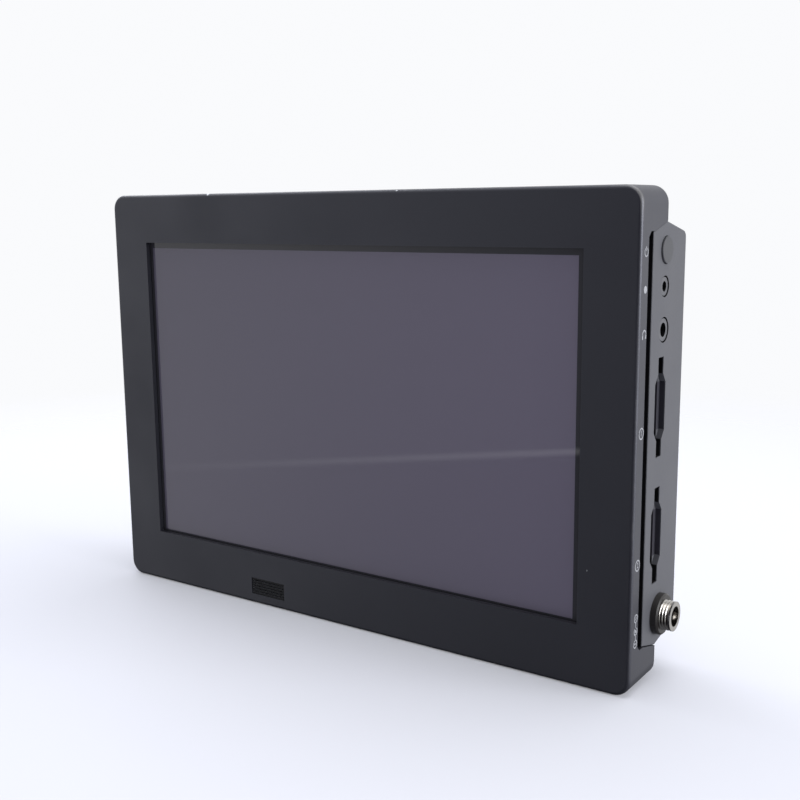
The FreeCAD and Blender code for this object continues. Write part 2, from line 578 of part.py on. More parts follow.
hub = turned([
    (hub_front, "hub_radius"), (hub_front, "hub_radius - hub_wall"),
    (f"{hub_rear} - hub_wall", "hub_radius - hub_wall"), (f"{hub_rear} - hub_wall", "shaft_radius"),
    (f"{strut_rear} + running_gap", "shaft_radius"), (f"{strut_rear} + running_gap", "0"),
    (hub_rear, "0"), (hub_rear, "hub_radius")], "Y", "0", ("0", fan_z))
blade_reach = "(fan_bore - blade_tip_gap)"
blade_root = "(hub_radius - hub_wall / 2)"
blade_y = f"(({hub_front} + {hub_rear}) / 2)"
blades = []
for k in range(BLADE_COUNT):
    blade = doc.addObject("Part::Box", "blade")
    blade.setExpression("Length", fx(f"{blade_reach} - {blade_root}"))
    blade.setExpression("Width", fx("blade_thickness"))
    blade.setExpression("Height", fx("blade_chord"))
    about_shaft = FreeCAD.Rotation(FreeCAD.Vector(0, 1, 0), 360 * k / BLADE_COUNT)
    turn = about_shaft.multiply(FreeCAD.Rotation(FreeCAD.Vector(1, 0, 0), BLADE_TILT))
    blade.Placement = FreeCAD.Placement(FreeCAD.Vector(), turn)
    corner = (blade_root, "-blade_thickness / 2", "-blade_chord / 2")
    columns = [turn.multVec(FreeCAD.Vector(*unit)) for unit in ((1, 0, 0), (0, 1, 0), (0, 0, 1))]
    offset = [" + ".join(f"({column[i]:.9f}) * ({part})" for column, part in zip(columns, corner))
              for i in range(3)]
    place(blade, offset[0], f"{blade_y} + {offset[1]}", f"{fan_z} + {offset[2]}")
    blades.append(blade)
node("fan_rotor", fuse(hub, *blades))
group("fan_screws", [
    screw("Y", f"{back} - small_head_height - head_recess", spot, 1, small_head,
          ("small_screw_radius", "small_screw_length")) for spot in fan_spots])

# Rear cover: moulded trough that carries the battery bays, the fan, six screw pillars and the
# lugs that hold the port plates
cover = new_body("rear_cover")
add(cover, "YZ_Plane", f"-{plate_inner}", plate_inner,
    [[(frame_rear, low_mid), (back, low_rear), (back, top_rear), (frame_rear, top_mid)]])
round_edges(cover, "rear_round",
            lambda box: box.XLength > 1 and near(box.YMin, back) and near(box.YMax, back))
take(cover, "YZ_Plane", f"-{plate_inner}", plate_inner, [[
    (frame_rear, f"{low_mid} + case_wall"), (rear_inner, f"{low_rear} + case_wall"),
    (rear_inner, f"{top_rear} - case_wall"), (frame_rear, f"{top_mid} - case_wall")]])
bay_seat = f"({back} - bay_depth)"
bay_under = f"({bay_seat} - bay_floor)"
bay_top = f"({bay_seat} + battery_plate)"
plate_wide = "(bay_width - 2 * bay_clearance)"
plate_tall = "(bay_height - 2 * bay_clearance)"
bay_places = [(name, f"({side} * {bay_offset})") for name, side in (("left", -1), ("right", 1))]
catch_z = f"({bay_z} + bay_height / 2 - bay_clearance - catch_inset - catch_length / 2)"
flange_top = f"({bay_seat} - fit_gap)"
flange_under = f"({flange_top} - catch_flange)"
well_seat = f"({flange_under} - catch_travel - well_spare)"
well_width = "(catch_width + 2 * catch_lip + 2 * fit_gap)"
well_length = "(catch_length + 2 * catch_lip + 2 * fit_gap)"


def plate_screw_places(x):
    """The four screws of a battery plate: two at its top corners, two above its terminal block."""
    side = f"({plate_wide} / 2 - plate_screw_inset)"
    high = f"({bay_z} + {plate_tall} / 2 - plate_screw_inset)"
    low = f"({bay_z} - {plate_tall} / 2 + plate_screw_inset + terminal_inset + terminal_length)"
    return [(f"({x} + {k} * {side})", z) for k in (-1, 1) for z in (low, high)]


for name, x in bay_places:
    add(cover, "XZ_Plane", bay_under, rear_inner,
        [around(x, bay_z, "bay_width + 2 * bay_wall", "bay_height + 2 * bay_wall")])
    add(cover, "XZ_Plane", f"{well_seat} - well_floor", bay_under,
        [around(x, catch_z, f"{well_width} + 2 * well_floor", f"{well_length} + 2 * well_floor")])
    take(cover, "XZ_Plane", bay_seat, back, [around(x, bay_z, "bay_width", "bay_height")])
    take(cover, "XZ_Plane", well_seat, bay_seat, [around(x, catch_z, well_width, well_length)])
    take(cover, "XZ_Plane", f"{bay_top} - plate_screw_length", bay_seat, [],
         [(u, v, "small_screw_radius + screw_gap") for u, v in plate_screw_places(x)])
add(cover, "XZ_Plane", board_rear, rear_inner, [], [(x, z, "pillar_radius") for x, z in pillar_places])
take(cover, "XZ_Plane", board_rear, back, [],
     [(x, z, "case_screw_radius + screw_gap") for x, z in pillar_places])
case_seat = f"({back} - case_head_height - head_recess)"
take(cover, "XZ_Plane", case_seat, back, [],
     [(x, z, "case_head_radius + fit_gap") for x, z in pillar_places])
add(cover, "XZ_Plane", f"{rear_inner} - lug_depth", rear_inner, [
    rect(low, high, f"{z} - lug_height / 2", f"{z} + lug_height / 2")
    for z in lug_places for low, high in ((f"-{plate_inner}", f"-{plate_inner} + lug_length"),
                                          (f"{plate_inner} - lug_length", plate_inner))])
lug_rounds = [(lug_y, z, "small_screw_radius + screw_gap") for z in lug_places]
take(cover, "YZ_Plane", f"-{plate_inner}", f"-{plate_inner} + lug_length", [], lug_rounds)
take(cover, "YZ_Plane", f"{plate_inner} - lug_length", plate_inner, [], lug_rounds)
air_rows = [f"{k - (AIR_SLOTS - 1) / 2} * air_pitch" for k in range(AIR_SLOTS)]
take(cover, "XZ_Plane", rear_inner, back, [
    around("0", f"{fan_z} + {row}", f"2 * sqrt(grille_radius ^ 2 - ({row}) ^ 2)", "air_slot")
    for row in air_rows])
take(cover, "XZ_Plane", rear_inner, back, [],
     [(x, z, "small_screw_radius + screw_gap") for x, z in fan_spots])
take(cover, "XZ_Plane", f"{back} - small_head_height - head_recess", back, [],
     [(x, z, "small_head_radius + fit_gap") for x, z in fan_spots])
vent_outlines = [
    rect(f"{side} * (vent_start + {k} * vent_pitch) - vent_width / 2",
         f"{side} * (vent_start + {k} * vent_pitch) + vent_width / 2",
         f"{frame_rear} + vent_inset", f"{frame_rear} + vent_inset + vent_length")
    for side in (-1, 1) for k in range(VENTS_PER_ROW)]
take(cover, "XY_Plane", low_mid, f"{low_rear} + case_wall", vent_outlines)
take(cover, "XY_Plane", f"{top_rear} - case_wall", top_mid, vent_outlines)
group("case_screws", [
    screw("Y", case_seat, spot, 1, ("case_head_radius", "case_head_height"),
          ("case_screw_radius", f"{case_seat} - {board_front} + case_screw_grip"))
    for spot in pillar_places])

# Battery bays: a moulded plate with hooks and a terminal block, metal terminals, and a sprung
# catch that drops behind the battery's upper end
terminal_low = f"({bay_z} - {plate_tall} / 2 + terminal_inset)"
terminal_high = f"({terminal_low} + terminal_length)"
plate_screws = []
terminals = []
for name, x in bay_places:
    corners = plate_screw_places(x)
    plate = new_body(f"{name}_battery_plate")
    add(plate, "XZ_Plane", bay_seat, bay_top, [around(x, bay_z, plate_wide, plate_tall)],
        [(u, v, "small_screw_radius + screw_gap") for u, v in corners])
    take(plate, "XZ_Plane", bay_seat, bay_top,
         [around(x, catch_z, "catch_width + 2 * fit_gap", "catch_length + 2 * fit_gap")])
    take(plate, "XZ_Plane", f"{bay_top} - small_head_height", bay_top, [],
         [(u, v, "small_head_radius + fit_gap") for u, v in corners])
    hook_top = f"({bay_top} + hook_height)"
    for i in (-1, 1):
        wall = f"({x} + {i} * {plate_wide} / 2)"
        for k in (-1, 1):
            hook_z = f"({bay_z} - hook_drop + {k} * hook_spread)"
            add(plate, "XZ_Plane", bay_top, hook_top,
                [around(f"{wall} - {i} * hook_width / 2", hook_z, "hook_width", "hook_length")])
            roof_x = f"{wall} - {i} * (hook_width + hook_reach / 2)"
            add(plate, "XZ_Plane", f"{hook_top} - hook_roof", hook_top,
                [around(roof_x, hook_z, "hook_reach", "hook_length")])
    add(plate, "XZ_Plane", bay_top, f"{bay_top} + terminal_height",
        [rect(f"{x} - terminal_width / 2", f"{x} + terminal_width / 2", terminal_low, terminal_high)])
    plate_screws += [screw("Y", f"{bay_top} - small_head_height", spot, 1, small_head,
                           ("small_screw_radius", "plate_screw_length - small_head_height"))
                     for spot in corners]
    blade_middle = f"({bay_top} + terminal_height / 2)"
    for k in range(TERMINAL_COUNT):
        blade_x = f"({x} + {k - (TERMINAL_COUNT - 1) / 2} * blade_spread)"
        terminals.append(block(
            (f"{blade_x} - blade_width / 2", f"{blade_x} + blade_width / 2"),
            (f"{blade_middle} - blade_height / 2", f"{blade_middle} + blade_height / 2"),
            (terminal_high, f"{terminal_high} + blade_reach")))
    catch = new_body(f"{name}_battery_catch")
    catch_low = f"({catch_z} - catch_length / 2)"
    catch_high = f"({catch_z} + catch_length / 2)"
    add(catch, "YZ_Plane", f"{x} - catch_width / 2", f"{x} + catch_width / 2", [[
        (flange_under, catch_low), (f"{bay_top} + catch_proud", catch_low),
        (f"{bay_top} + catch_proud", f"{catch_low} + catch_length / 2"),
        (f"{bay_top} + catch_lead", catch_high), (flange_under, catch_high)]])
    add(catch, "XZ_Plane", flange_under, flange_top,
        [around(x, catch_z, "catch_width + 2 * catch_lip", "catch_length + 2 * catch_lip")])
    coil(f"{name}_catch_spring", "Y", well_seat, flange_under, (x, catch_z), "catch_coil", "catch_wire")
group("battery_plate_screws", plate_screws)
group("battery_terminals", terminals)

# Right port plate: the plate in the photograph, with a shadow gap in front of it
plate_outline = [
    (plate_y, f"{low_front} + fit_gap"), (frame_rear, f"{low_mid} + fit_gap"), (back, low_rear),
    (back, top_rear), (frame_rear, f"{top_mid} - fit_gap"), (plate_y, f"{top_front} - fit_gap")]


def port_plate(label, inner, outer, inward):
    """A plate with the block's side outline, rounded like the rear cover, and screw holes behind."""
    plate = new_body(label)
    low, high = (inner, outer) if inward < 0 else (outer, inner)
    add(plate, "YZ_Plane", low, high, [plate_outline])
    round_edges(plate, "rear_round", lambda box: box.XLength > 1 and near(box.YMin, back))
    round_edges(plate, "plate_edge", lambda box: near(box.XMin, outer) and near(box.XMax, outer))
    hole = (inner, f"{inner} + groove_depth / 2") if inward < 0 else (f"{inner} - groove_depth / 2", inner)
    take(plate, "YZ_Plane", *hole, [], lug_rounds)
    return plate


right = port_plate("right_port_plate", plate_inner, plate_outer, -1)
take(right, "YZ_Plane", plate_inner, plate_outer, [], [
    (button_y, button_z, "button_radius + fit_gap"),
    (jack_y, remote_z, "remote_radius + jack_gap"),
    (jack_y, phones_z, "phones_radius + jack_gap"),
    (dc_y, dc_z, "dc_radius + screw_gap")])
for name, z in card_places:
    take(right, "YZ_Plane", plate_inner, plate_outer, [around(card_y, z, "card_slot", "card_slot_length")])
    take(right, "YZ_Plane", f"{plate_outer} - scoop_depth", plate_outer, [[
        (f"{card_y} - card_slot / 2", f"{z} - scoop_length / 2"),
        (f"{card_y} + card_slot / 2", f"{z} - scoop_length / 2"),
        (f"{card_y} + scoop_width / 2", f"{z} - scoop_flat / 2"),
        (f"{card_y} + scoop_width / 2", f"{z} + scoop_flat / 2"),
        (f"{card_y} + card_slot / 2", f"{z} + scoop_length / 2"),
        (f"{card_y} - card_slot / 2", f"{z} + scoop_length / 2"),
        (f"{card_y} - scoop_width / 2", f"{z} + scoop_flat / 2"),
        (f"{card_y} - scoop_width / 2", f"{z} - scoop_flat / 2")]])

# Power button on its switch
button_foot = f"({plate_inner} - fit_gap)"
button_face = f"({plate_outer} + button_proud)"
stem_end = f"({button_foot} - button_flange - stem_length)"
node("power_button", turned([
    (stem_end, "0"), (stem_end, "stem_radius"), (f"{button_foot} - button_flange", "stem_radius"),
    (f"{button_foot} - button_flange", "button_radius + button_lip"),
    (button_foot, "button_radius + button_lip"),
    (button_foot, "button_radius"), (f"{button_face} - button_bevel", "button_radius"),
    (button_face, "button_radius - button_bevel"), (button_face, "0")], "X", "0", (button_y, button_z)))
switch_face = f"({stem_end} - button_travel - dome_rest)"
node("switch_dome", rod("X", switch_face, stem_end, (button_y, button_z), "dome_radius"))
node("power_switch", block((f"{switch_face} - switch_length", switch_face),
                           (board_rear, f"{board_rear} + switch_height"),
                           (f"{button_z} - switch_width / 2", f"{button_z} + switch_width / 2")))


# Round jacks: a moulded body on the board and a barrel that ends just inside the plate's face
def jack(label, z, width, radius, bore):
    mouth = f"({plate_outer} - jack_recess)"
    tail = f"({plate_inner} - jack_length)"
    shell = fuse(block((tail, plate_inner), (board_rear, f"{board_rear} + jack_height"),
                       (f"{z} - {width} / 2", f"{z} + {width} / 2")),
                 rod("X", f"{plate_inner} - groove_depth", mouth, (jack_y, z), radius))
    node(label, cut(shell, rod("X", f"{tail} + jack_floor", mouth, (jack_y, z), bore)))


jack("remote_jack", remote_z, "remote_width", "remote_radius", "remote_bore")
jack("headphone_jack", phones_z, "phones_width", "phones_radius", "phones_bore")

# Memory card sockets: a folded metal shell, a push-push slide at its end and the slide's spring
slide_rest = f"({plate_outer} - card_depth)"
socket_end = f"({slide_rest} - slide_length - slide_travel - slide_spare - socket_wall)"
for name, z in card_places:
    shell = new_body(f"{name}_card_socket")
    socket_half = "(card_width / 2 + socket_wall)"
    add(shell, "YZ_Plane", socket_end, plate_inner,
        [rect(board_rear, f"{board_rear} + socket_height", f"{z} - {socket_half}", f"{z} + {socket_half}")])
    take(shell, "YZ_Plane", f"{socket_end} + socket_wall", plate_inner,
         [around(card_y, z, "card_thickness", "card_width")])
    node(f"{name}_card_slide", block(
        (f"{slide_rest} - slide_length", slide_rest),
        (f"{card_y} - card_thickness / 2 + fit_gap", f"{card_y} + card_thickness / 2 - fit_gap"),
        (f"{z} - card_width / 2 + fit_gap", f"{z} + card_width / 2 - fit_gap")))
    coil(f"{name}_card_spring", "X", f"({socket_end} + socket_wall)", f"({slide_rest} - slide_length)",
         (card_y, z), "slide_coil", "slide_wire")

# DC power jack: nickel plated barrel with a locking thread, held by a black ring nut
dc_tip = f"({half_width} + dc_reach)"
dc_tail = f"({plate_inner} - dc_body_length)"
nut_face = f"({plate_outer} + dc_nut_height)"
thread_end = f"({dc_tip} - thread_lead)"
ridge_profile = []
for k in range(THREAD_RIDGES):
    groove_at = f"({thread_end} - {k} * thread_pitch - thread_pitch / 2)"
    ridge_profile += [
        (f"{groove_at} + thread_pitch / 2", "dc_radius"), (groove_at, "dc_radius - thread_depth"),
        (f"{groove_at} - thread_pitch / 2 + screw_gap", "dc_radius")]
node("dc_jack", turned(
    [(dc_tail, "0"), (f"{dc_tip} - dc_bore_depth", "0"), (f"{dc_tip} - dc_bore_depth", "dc_bore"),
     (dc_tip, "dc_bore"), (dc_tip, "dc_radius")] + ridge_profile
    + [(plate_inner, "dc_radius"), (plate_inner, "dc_body"), (dc_tail, "dc_body")], "X", "0", (dc_y, dc_z)))
node("dc_nut", turned([
    (plate_outer, "dc_radius + screw_gap"), (nut_face, "dc_radius + screw_gap"),
    (nut_face, "dc_nut_radius - dc_nut_bevel"), (f"{nut_face} - dc_nut_bevel", "dc_nut_radius"),
    (plate_outer, "dc_nut_radius")], "X", "0", (dc_y, dc_z)))
dc_floor = f"({dc_tip} - dc_bore_depth)"
node("dc_contact", turned([
    (dc_floor, "0"), (dc_floor, "dc_bore - screw_gap"),
    (f"{dc_floor} + dc_insulator", "dc_bore - screw_gap"),
    (f"{dc_floor} + dc_insulator", "dc_pin_radius"),
    (f"{dc_tip} - dc_pin_inset - dc_pin_radius / 2", "dc_pin_radius"),
    (f"{dc_tip} - dc_pin_inset", "dc_pin_radius / 2"), (f"{dc_tip} - dc_pin_inset", "0")],
    "X", "0", (dc_y, dc_z)))


def video_outline(z, inset):
    """The five sided mouth of a digital video socket, bevelled towards the board."""
    half = f"(video_width / 2 - {inset})"
    low = f"({board_rear} + {inset})"
    high = f"({board_rear} + video_height - {inset})"
    bevel = "video_bevel"
    return [(low, f"{z} - {half} + {bevel}"), (low, f"{z} + {half} - {bevel}"),
            (f"{low} + {bevel}", f"{z} + {half}"), (high, f"{z} + {half}"),
            (high, f"{z} - {half}"), (f"{low} + {bevel}", f"{z} - {half}")]


# Left port plate
left_inner = f"(-{plate_inner})"
left_outer = f"(-{plate_outer})"
left = port_plate("left_port_plate", left_inner, left_outer, 1)
take(left, "YZ_Plane", left_outer, left_inner,
     [video_outline(left_z["video_in"], "-fit_gap"), video_outline(left_z["video_out"], "-fit_gap"),
      around(data_y, left_z["data"], "data_height + 2 * fit_gap", "data_width + 2 * fit_gap")],
     [(round_y, left_z["coax_in"], "coax_bushing + screw_gap"),
      (round_y, left_z["coax_out"], "coax_bushing + screw_gap"),
      (audio_y, left_z["audio_one"], "audio_radius + screw_gap"),
      (audio_y, left_z["audio_two"], "audio_radius + screw_gap")])

# Port plate screws: three to a side, driven from inside through the rear cover's lugs
lug_screw = ("small_screw_radius", "lug_length + groove_depth / 2 - fit_gap")
group("port_plate_screws", [
    screw("X", seat, (lug_y, z), direction, small_head, lug_screw)
    for seat, direction in ((f"{plate_inner} - lug_length", -1), (f"-{plate_inner} + lug_length", 1))
    for z in lug_places])

# Coaxial video jacks: a plated body with bayonet lugs, a hexagon nut, insulator and contact
coax_nuts = []
coax_insulators = []
coax_contacts = []
for name in ("coax_in", "coax_out"):
    z = left_z[name]
    spot = (round_y, z)
    nut_end = f"({plate_outer} + coax_nut_height)"
    tip = f"({plate_outer} + coax_reach)"
    floor = f"({tip} - coax_bore_depth)"
    tail = f"({plate_inner} - coax_flange_depth - coax_body_length)"
    body = turned([
        (tail, "0"), (floor, "0"), (floor, "coax_bore"), (tip, "coax_bore"), (tip, "coax_barrel"),
        (nut_end, "coax_barrel"), (nut_end, "coax_bushing"), (plate_inner, "coax_bushing"),
        (plate_inner, "coax_flange"), (f"{plate_inner} - coax_flange_depth", "coax_flange"),
        (f"{plate_inner} - coax_flange_depth", "coax_body"), (tail, "coax_body")], "X", "0", spot, -1)
    lug_x = f"(-({tip} - coax_lug_inset))"
    lug_root = "(coax_bore + coax_barrel) / 2"
    lugs = [rod("Z", f"{z} + {low}", f"{z} + {high}", (lug_x, round_y), "coax_lug")
            for low, high in ((lug_root, "coax_barrel + coax_lug_reach"),
                              ("-coax_barrel - coax_lug_reach", f"-{lug_root}"))]
    node(f"{name}_jack", fuse(body, *lugs))
    hexagon = doc.addObject("Part::Prism", "hexagon")
    hexagon.Polygon = 6
    hexagon.setExpression("Circumradius", fx(f"{coax_reach_z} / 2"))
    hexagon.setExpression("Height", fx("coax_nut_height"))
    hexagon.Placement = FreeCAD.Placement(FreeCAD.Vector(), AXIS_TURN["X"])
    place(hexagon, f"-{nut_end}", round_y, z)
    nut_bore = rod("X", f"-{nut_end}", f"-{plate_outer}", spot, "coax_bushing + screw_gap")
    coax_nuts.append(cut(hexagon, nut_bore))
    coax_insulators.append(turned([
        (floor, "coax_pin"), (f"{floor} + coax_insulator", "coax_pin"),
        (f"{floor} + coax_insulator", "coax_bore - screw_gap"), (floor, "coax_bore - screw_gap")],
        "X", "0", spot, -1))
    coax_contacts.append(turned([
        (floor, "0"), (f"{tip} - coax_pin_inset", "0"), (f"{tip} - coax_pin_inset", "coax_pin - screw_gap"),
        (floor, "coax_pin - screw_gap")], "X", "0", spot, -1))
group("coax_nuts", coax_nuts)
group("coax_insulators", coax_insulators)
group("coax_contacts", coax_contacts)

# Digital video sockets: a folded shell with a contact tongue
video_tip = f"({plate_outer} + video_proud)"
video_tail = f"({video_tip} - video_length)"
tongues = []
for name in ("video_in", "video_out"):
    z = left_z[name]
    shell = new_body(f"{name}_socket")
    add(shell, "YZ_Plane", f"-{video_tip}", f"-{video_tail}", [video_outline(z, "0")])
    take(shell, "YZ_Plane", f"-{video_tip}", f"-{video_tail} - video_back", [video_outline(z, "video_wall")])
    tongues.append(block(
        (f"-{video_tip} + tongue_inset", f"-{video_tail} - video_back"),
        (f"{video_y} - tongue_thickness / 2", f"{video_y} + tongue_thickness / 2"),
        (f"{z} - tongue_width / 2", f"{z} + tongue_width / 2")))
group("video_tongues", tongues)

# Round audio sockets with three pins each
audio_tip = f"({plate_outer} + audio_rim_height)"
audio_floor = f"({audio_tip} - audio_depth)"
audio_pins = []
for name in ("audio_one", "audio_two"):
    z = left_z[name]
    node(f"{name}_socket", turned([
        (f"{audio_floor} - audio_back", "0"), (audio_floor, "0"), (audio_floor, "audio_bore"),
        (audio_tip, "audio_bore"), (audio_tip, "audio_rim"), (plate_outer, "audio_rim"),
        (plate_outer, "audio_radius"), (f"{audio_floor} - audio_back", "audio_radius")],
        "X", "0", (audio_y, z), -1))
    for k in range(AUDIO_PINS):
        angle = math.radians(90 + 360 * k / AUDIO_PINS)
        spot = (f"{audio_y} + {math.cos(angle):.6f} * audio_pin_ring",
                f"{z} + {math.sin(angle):.6f} * audio_pin_ring")
        audio_pins.append(rod("X", f"-{audio_tip} + audio_pin_inset", f"-{audio_floor}", spot, "audio_pin"))
group("audio_pins", audio_pins)

# Data socket: a rounded shell with its tongue
data_tail = f"({plate_outer} - data_length)"
data_z = left_z["data"]
data = new_body("data_socket")
add(data, "YZ_Plane", f"-{plate_outer}", f"-{data_tail}",
    [around(data_y, data_z, "data_height", "data_width")])
round_edges(data, "data_height / 2 - fit_gap", lambda box: box.XLength > 1)
take(data, "YZ_Plane", f"-{plate_outer}", f"-{data_tail} - data_back",
     [around(data_y, data_z, "data_height - 2 * data_wall", "data_width - data_height")])
add(data, "YZ_Plane", f"-{plate_outer} + data_tongue_inset", f"-{data_tail}",
    [around(data_y, data_z, "data_tongue_thickness", "data_tongue")])

# Every object is sound and every sub-part is a valid shape before anything is written
doc.recompute()
for item in doc.Objects:
    if "Invalid" in item.State or "Error" in item.State:
        raise RuntimeError(f"{item.Label} failed: {item.State}")
for piece in nodes:
    if piece.Shape.isNull() or not piece.Shape.isValid():
        raise RuntimeError(f"{piece.Label} has no valid shape")

os.makedirs("parts", exist_ok=True)
for piece in nodes:
    piece.Shape.exportStep(f"parts/{piece.Label}.step")
print(len(nodes), "sub-parts written")
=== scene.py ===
import math

import bmesh
import bpy
from mathutils import Matrix, Vector


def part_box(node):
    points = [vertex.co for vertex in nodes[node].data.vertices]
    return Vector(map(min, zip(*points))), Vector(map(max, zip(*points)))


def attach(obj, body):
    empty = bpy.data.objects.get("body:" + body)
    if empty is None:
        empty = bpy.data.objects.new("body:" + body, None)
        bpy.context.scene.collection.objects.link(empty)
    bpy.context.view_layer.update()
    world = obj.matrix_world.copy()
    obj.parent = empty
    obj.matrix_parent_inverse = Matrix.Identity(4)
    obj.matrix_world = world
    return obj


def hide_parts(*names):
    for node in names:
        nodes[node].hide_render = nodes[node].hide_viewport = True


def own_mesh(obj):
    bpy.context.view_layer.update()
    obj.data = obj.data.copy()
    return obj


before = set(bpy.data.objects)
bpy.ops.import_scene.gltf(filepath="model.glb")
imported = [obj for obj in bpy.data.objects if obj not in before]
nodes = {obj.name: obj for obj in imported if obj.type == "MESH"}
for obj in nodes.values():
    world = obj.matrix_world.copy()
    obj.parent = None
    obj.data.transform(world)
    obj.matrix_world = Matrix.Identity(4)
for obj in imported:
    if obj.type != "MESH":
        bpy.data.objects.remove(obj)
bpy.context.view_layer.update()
MM = 0.001

# The view: the photograph's camera stands in front of the monitor, to its right and level with
# its top edge. Heading, pitch and roll turn a camera that looks along +Y.
CAMERA_PLACE = Vector((191.877, -253.759, 123.129)) * MM
HEADING = math.radians(34.693)
PITCH = math.radians(-9.931)
ROLL = math.radians(-0.573)
FOCAL_LENGTH = 48.953
SENSOR_WIDTH = 36
NEAREST = 10 * MM

camera = bpy.data.objects.new("camera", bpy.data.cameras.new("camera"))
camera.data.sensor_width = SENSOR_WIDTH
camera.data.lens = FOCAL_LENGTH
camera.data.clip_start = NEAREST
levelled = Matrix.Rotation(math.radians(90) + PITCH, 4, "X")
turned = Matrix.Rotation(HEADING, 4, "Z") @ levelled @ Matrix.Rotation(ROLL, 4, "Z")
camera.matrix_world = Matrix.Translation(CAMERA_PLACE) @ turned
scene = bpy.context.scene
scene.collection.objects.link(camera)
scene.camera = camera
scene.view_settings.view_transform = "Standard"


# The studio: a pale table that lets a little of the white background through and fades into it, with
# soft lamps overhead, low on the right and high on the left. The room is dark behind the camera and
# below, so what faces it mirrors little light, except for the bright edge of the table in front.
def add_node(tree, kind, links=None, **settings):
    """A shader or geometry node with its settings, and its inputs given as values or sockets."""
    made = tree.nodes.new(kind)
    for setting, value in settings.items():
        setattr(made, setting, value)
    for socket, source in (links or {}).items():
        if isinstance(source, bpy.types.NodeSocket):
            tree.links.new(source, made.inputs[socket])
        else:
            made.inputs[socket].default_value = source
    return made


def math_node(tree, operation, first, second=0.0):
    """A sum, comparison or other operation on two numbers."""
    return add_node(tree, "ShaderNodeMath", {0: first, 1: second}, operation=operation).outputs[0]


def vector_node(tree, operation, first, second=(0, 0, 0)):
    """An operation on vectors, which for a length, distance or dot product gives a number."""
    made = add_node(tree, "ShaderNodeVectorMath", {0: first, 1: second}, operation=operation)
    gives_number = operation in ("LENGTH", "DISTANCE", "DOT_PRODUCT")
    return made.outputs["Value" if gives_number else "Vector"]


def map_range(tree, value, low, high, to_low=0.0, to_high=1.0, soft=False):
    """Carry a number from one range over to another, with soft ends if asked."""
    links = {"Value": value, "From Min": low, "From Max": high, "To Min": to_low, "To Max": to_high}
    blend = "SMOOTHSTEP" if soft else "LINEAR"
    return add_node(tree, "ShaderNodeMapRange", links, interpolation_type=blend).outputs[0]


def blend_colour(tree, share, first, second):
    """A colour between two others."""
    mixed = add_node(tree, "ShaderNodeMix", {"Factor": share}, data_type="RGBA")
    for socket, colour in ((mixed.inputs[6], first), (mixed.inputs[7], second)):
        if isinstance(colour, bpy.types.NodeSocket):
            tree.links.new(colour, socket)
        else:
            socket.default_value = (*colour, 1)
    return mixed.outputs[2]


BACKGROUND = (0.955, 0.962, 0.98)
DARK_ROOM = (0.12, 0.123, 0.135, 1)
DARK_TABLE = (0.02, 0.02, 0.023, 1)
TABLE_EDGE = (1.15, 1.15, 1.2, 1)
DARK_SIDE = Vector((0.25, -0.97, -0.2))
DIM_START = 0.43
DIM_FULL = 0.88
DOWN_START = -0.25
DOWN_FULL = -0.6
EDGE_SIDE = Vector((-0.669, -0.743, 0.0))
EDGE_DIP = 0.233
EDGE_WIDTH = 0.0025
AMBIENT = (0.86, 0.89, 1.0, 1)
AMBIENT_LEVEL = 0.45

world = bpy.data.worlds.new("studio")
scene.world = world
world.use_nodes = True
sky = world.node_tree
sky.nodes.clear()
toward = add_node(sky, "ShaderNodeTexCoord").outputs["Generated"]
height = add_node(sky, "ShaderNodeSeparateXYZ", {0: toward}).outputs["Z"]
ahead = vector_node(sky, "DOT_PRODUCT", toward, DARK_SIDE)
dim = map_range(sky, ahead, DIM_START, DIM_FULL, soft=True)
dim = math_node(sky, "MAXIMUM", dim, map_range(sky, height, DOWN_START, DOWN_FULL, soft=True))
rise = math_node(sky, "DIVIDE", height, vector_node(sky, "DOT_PRODUCT", toward, EDGE_SIDE))
over_edge = map_range(sky, rise, -EDGE_DIP - 2 * EDGE_WIDTH, -EDGE_DIP + 2 * EDGE_WIDTH)
room = add_node(sky, "ShaderNodeValToRGB", {"Fac": over_edge})
room.color_ramp.elements[0].color = DARK_TABLE
room.color_ramp.elements[1].color = DARK_ROOM
room.color_ramp.elements.new(0.5).color = TABLE_EDGE
ray = add_node(sky, "ShaderNodeLightPath").outputs
mirrored = math_node(sky, "SUBTRACT", 1.0, ray["Is Camera Ray"])
around = blend_colour(sky, math_node(sky, "MULTIPLY", dim, mirrored), BACKGROUND, room.outputs["Color"])
seen = math_node(sky, "MAXIMUM", ray["Is Camera Ray"], ray["Is Glossy Ray"])
seen = math_node(sky, "MAXIMUM", seen, ray["Is Transmission Ray"])
dull = add_node(sky, "ShaderNodeBackground", {"Color": AMBIENT, "Strength": AMBIENT_LEVEL})
white = add_node(sky, "ShaderNodeBackground", {"Color": around, "Strength": 1.0})
either = add_node(sky, "ShaderNodeMixShader", {0: seen, 1: dull.outputs[0], 2: white.outputs[0]})
add_node(sky, "ShaderNodeOutputWorld", {"Surface": either.outputs[0]})

FLOOR_REACH = 1.6
FLOOR_SIDES = 96
FADE_START = 0.18
FADE_END = 0.5
LEAST_FADE = 0.2
FLOOR_DROP = 0.1 * MM
FLOOR_COLOUR = (0.77, 0.78, 0.845, 1)

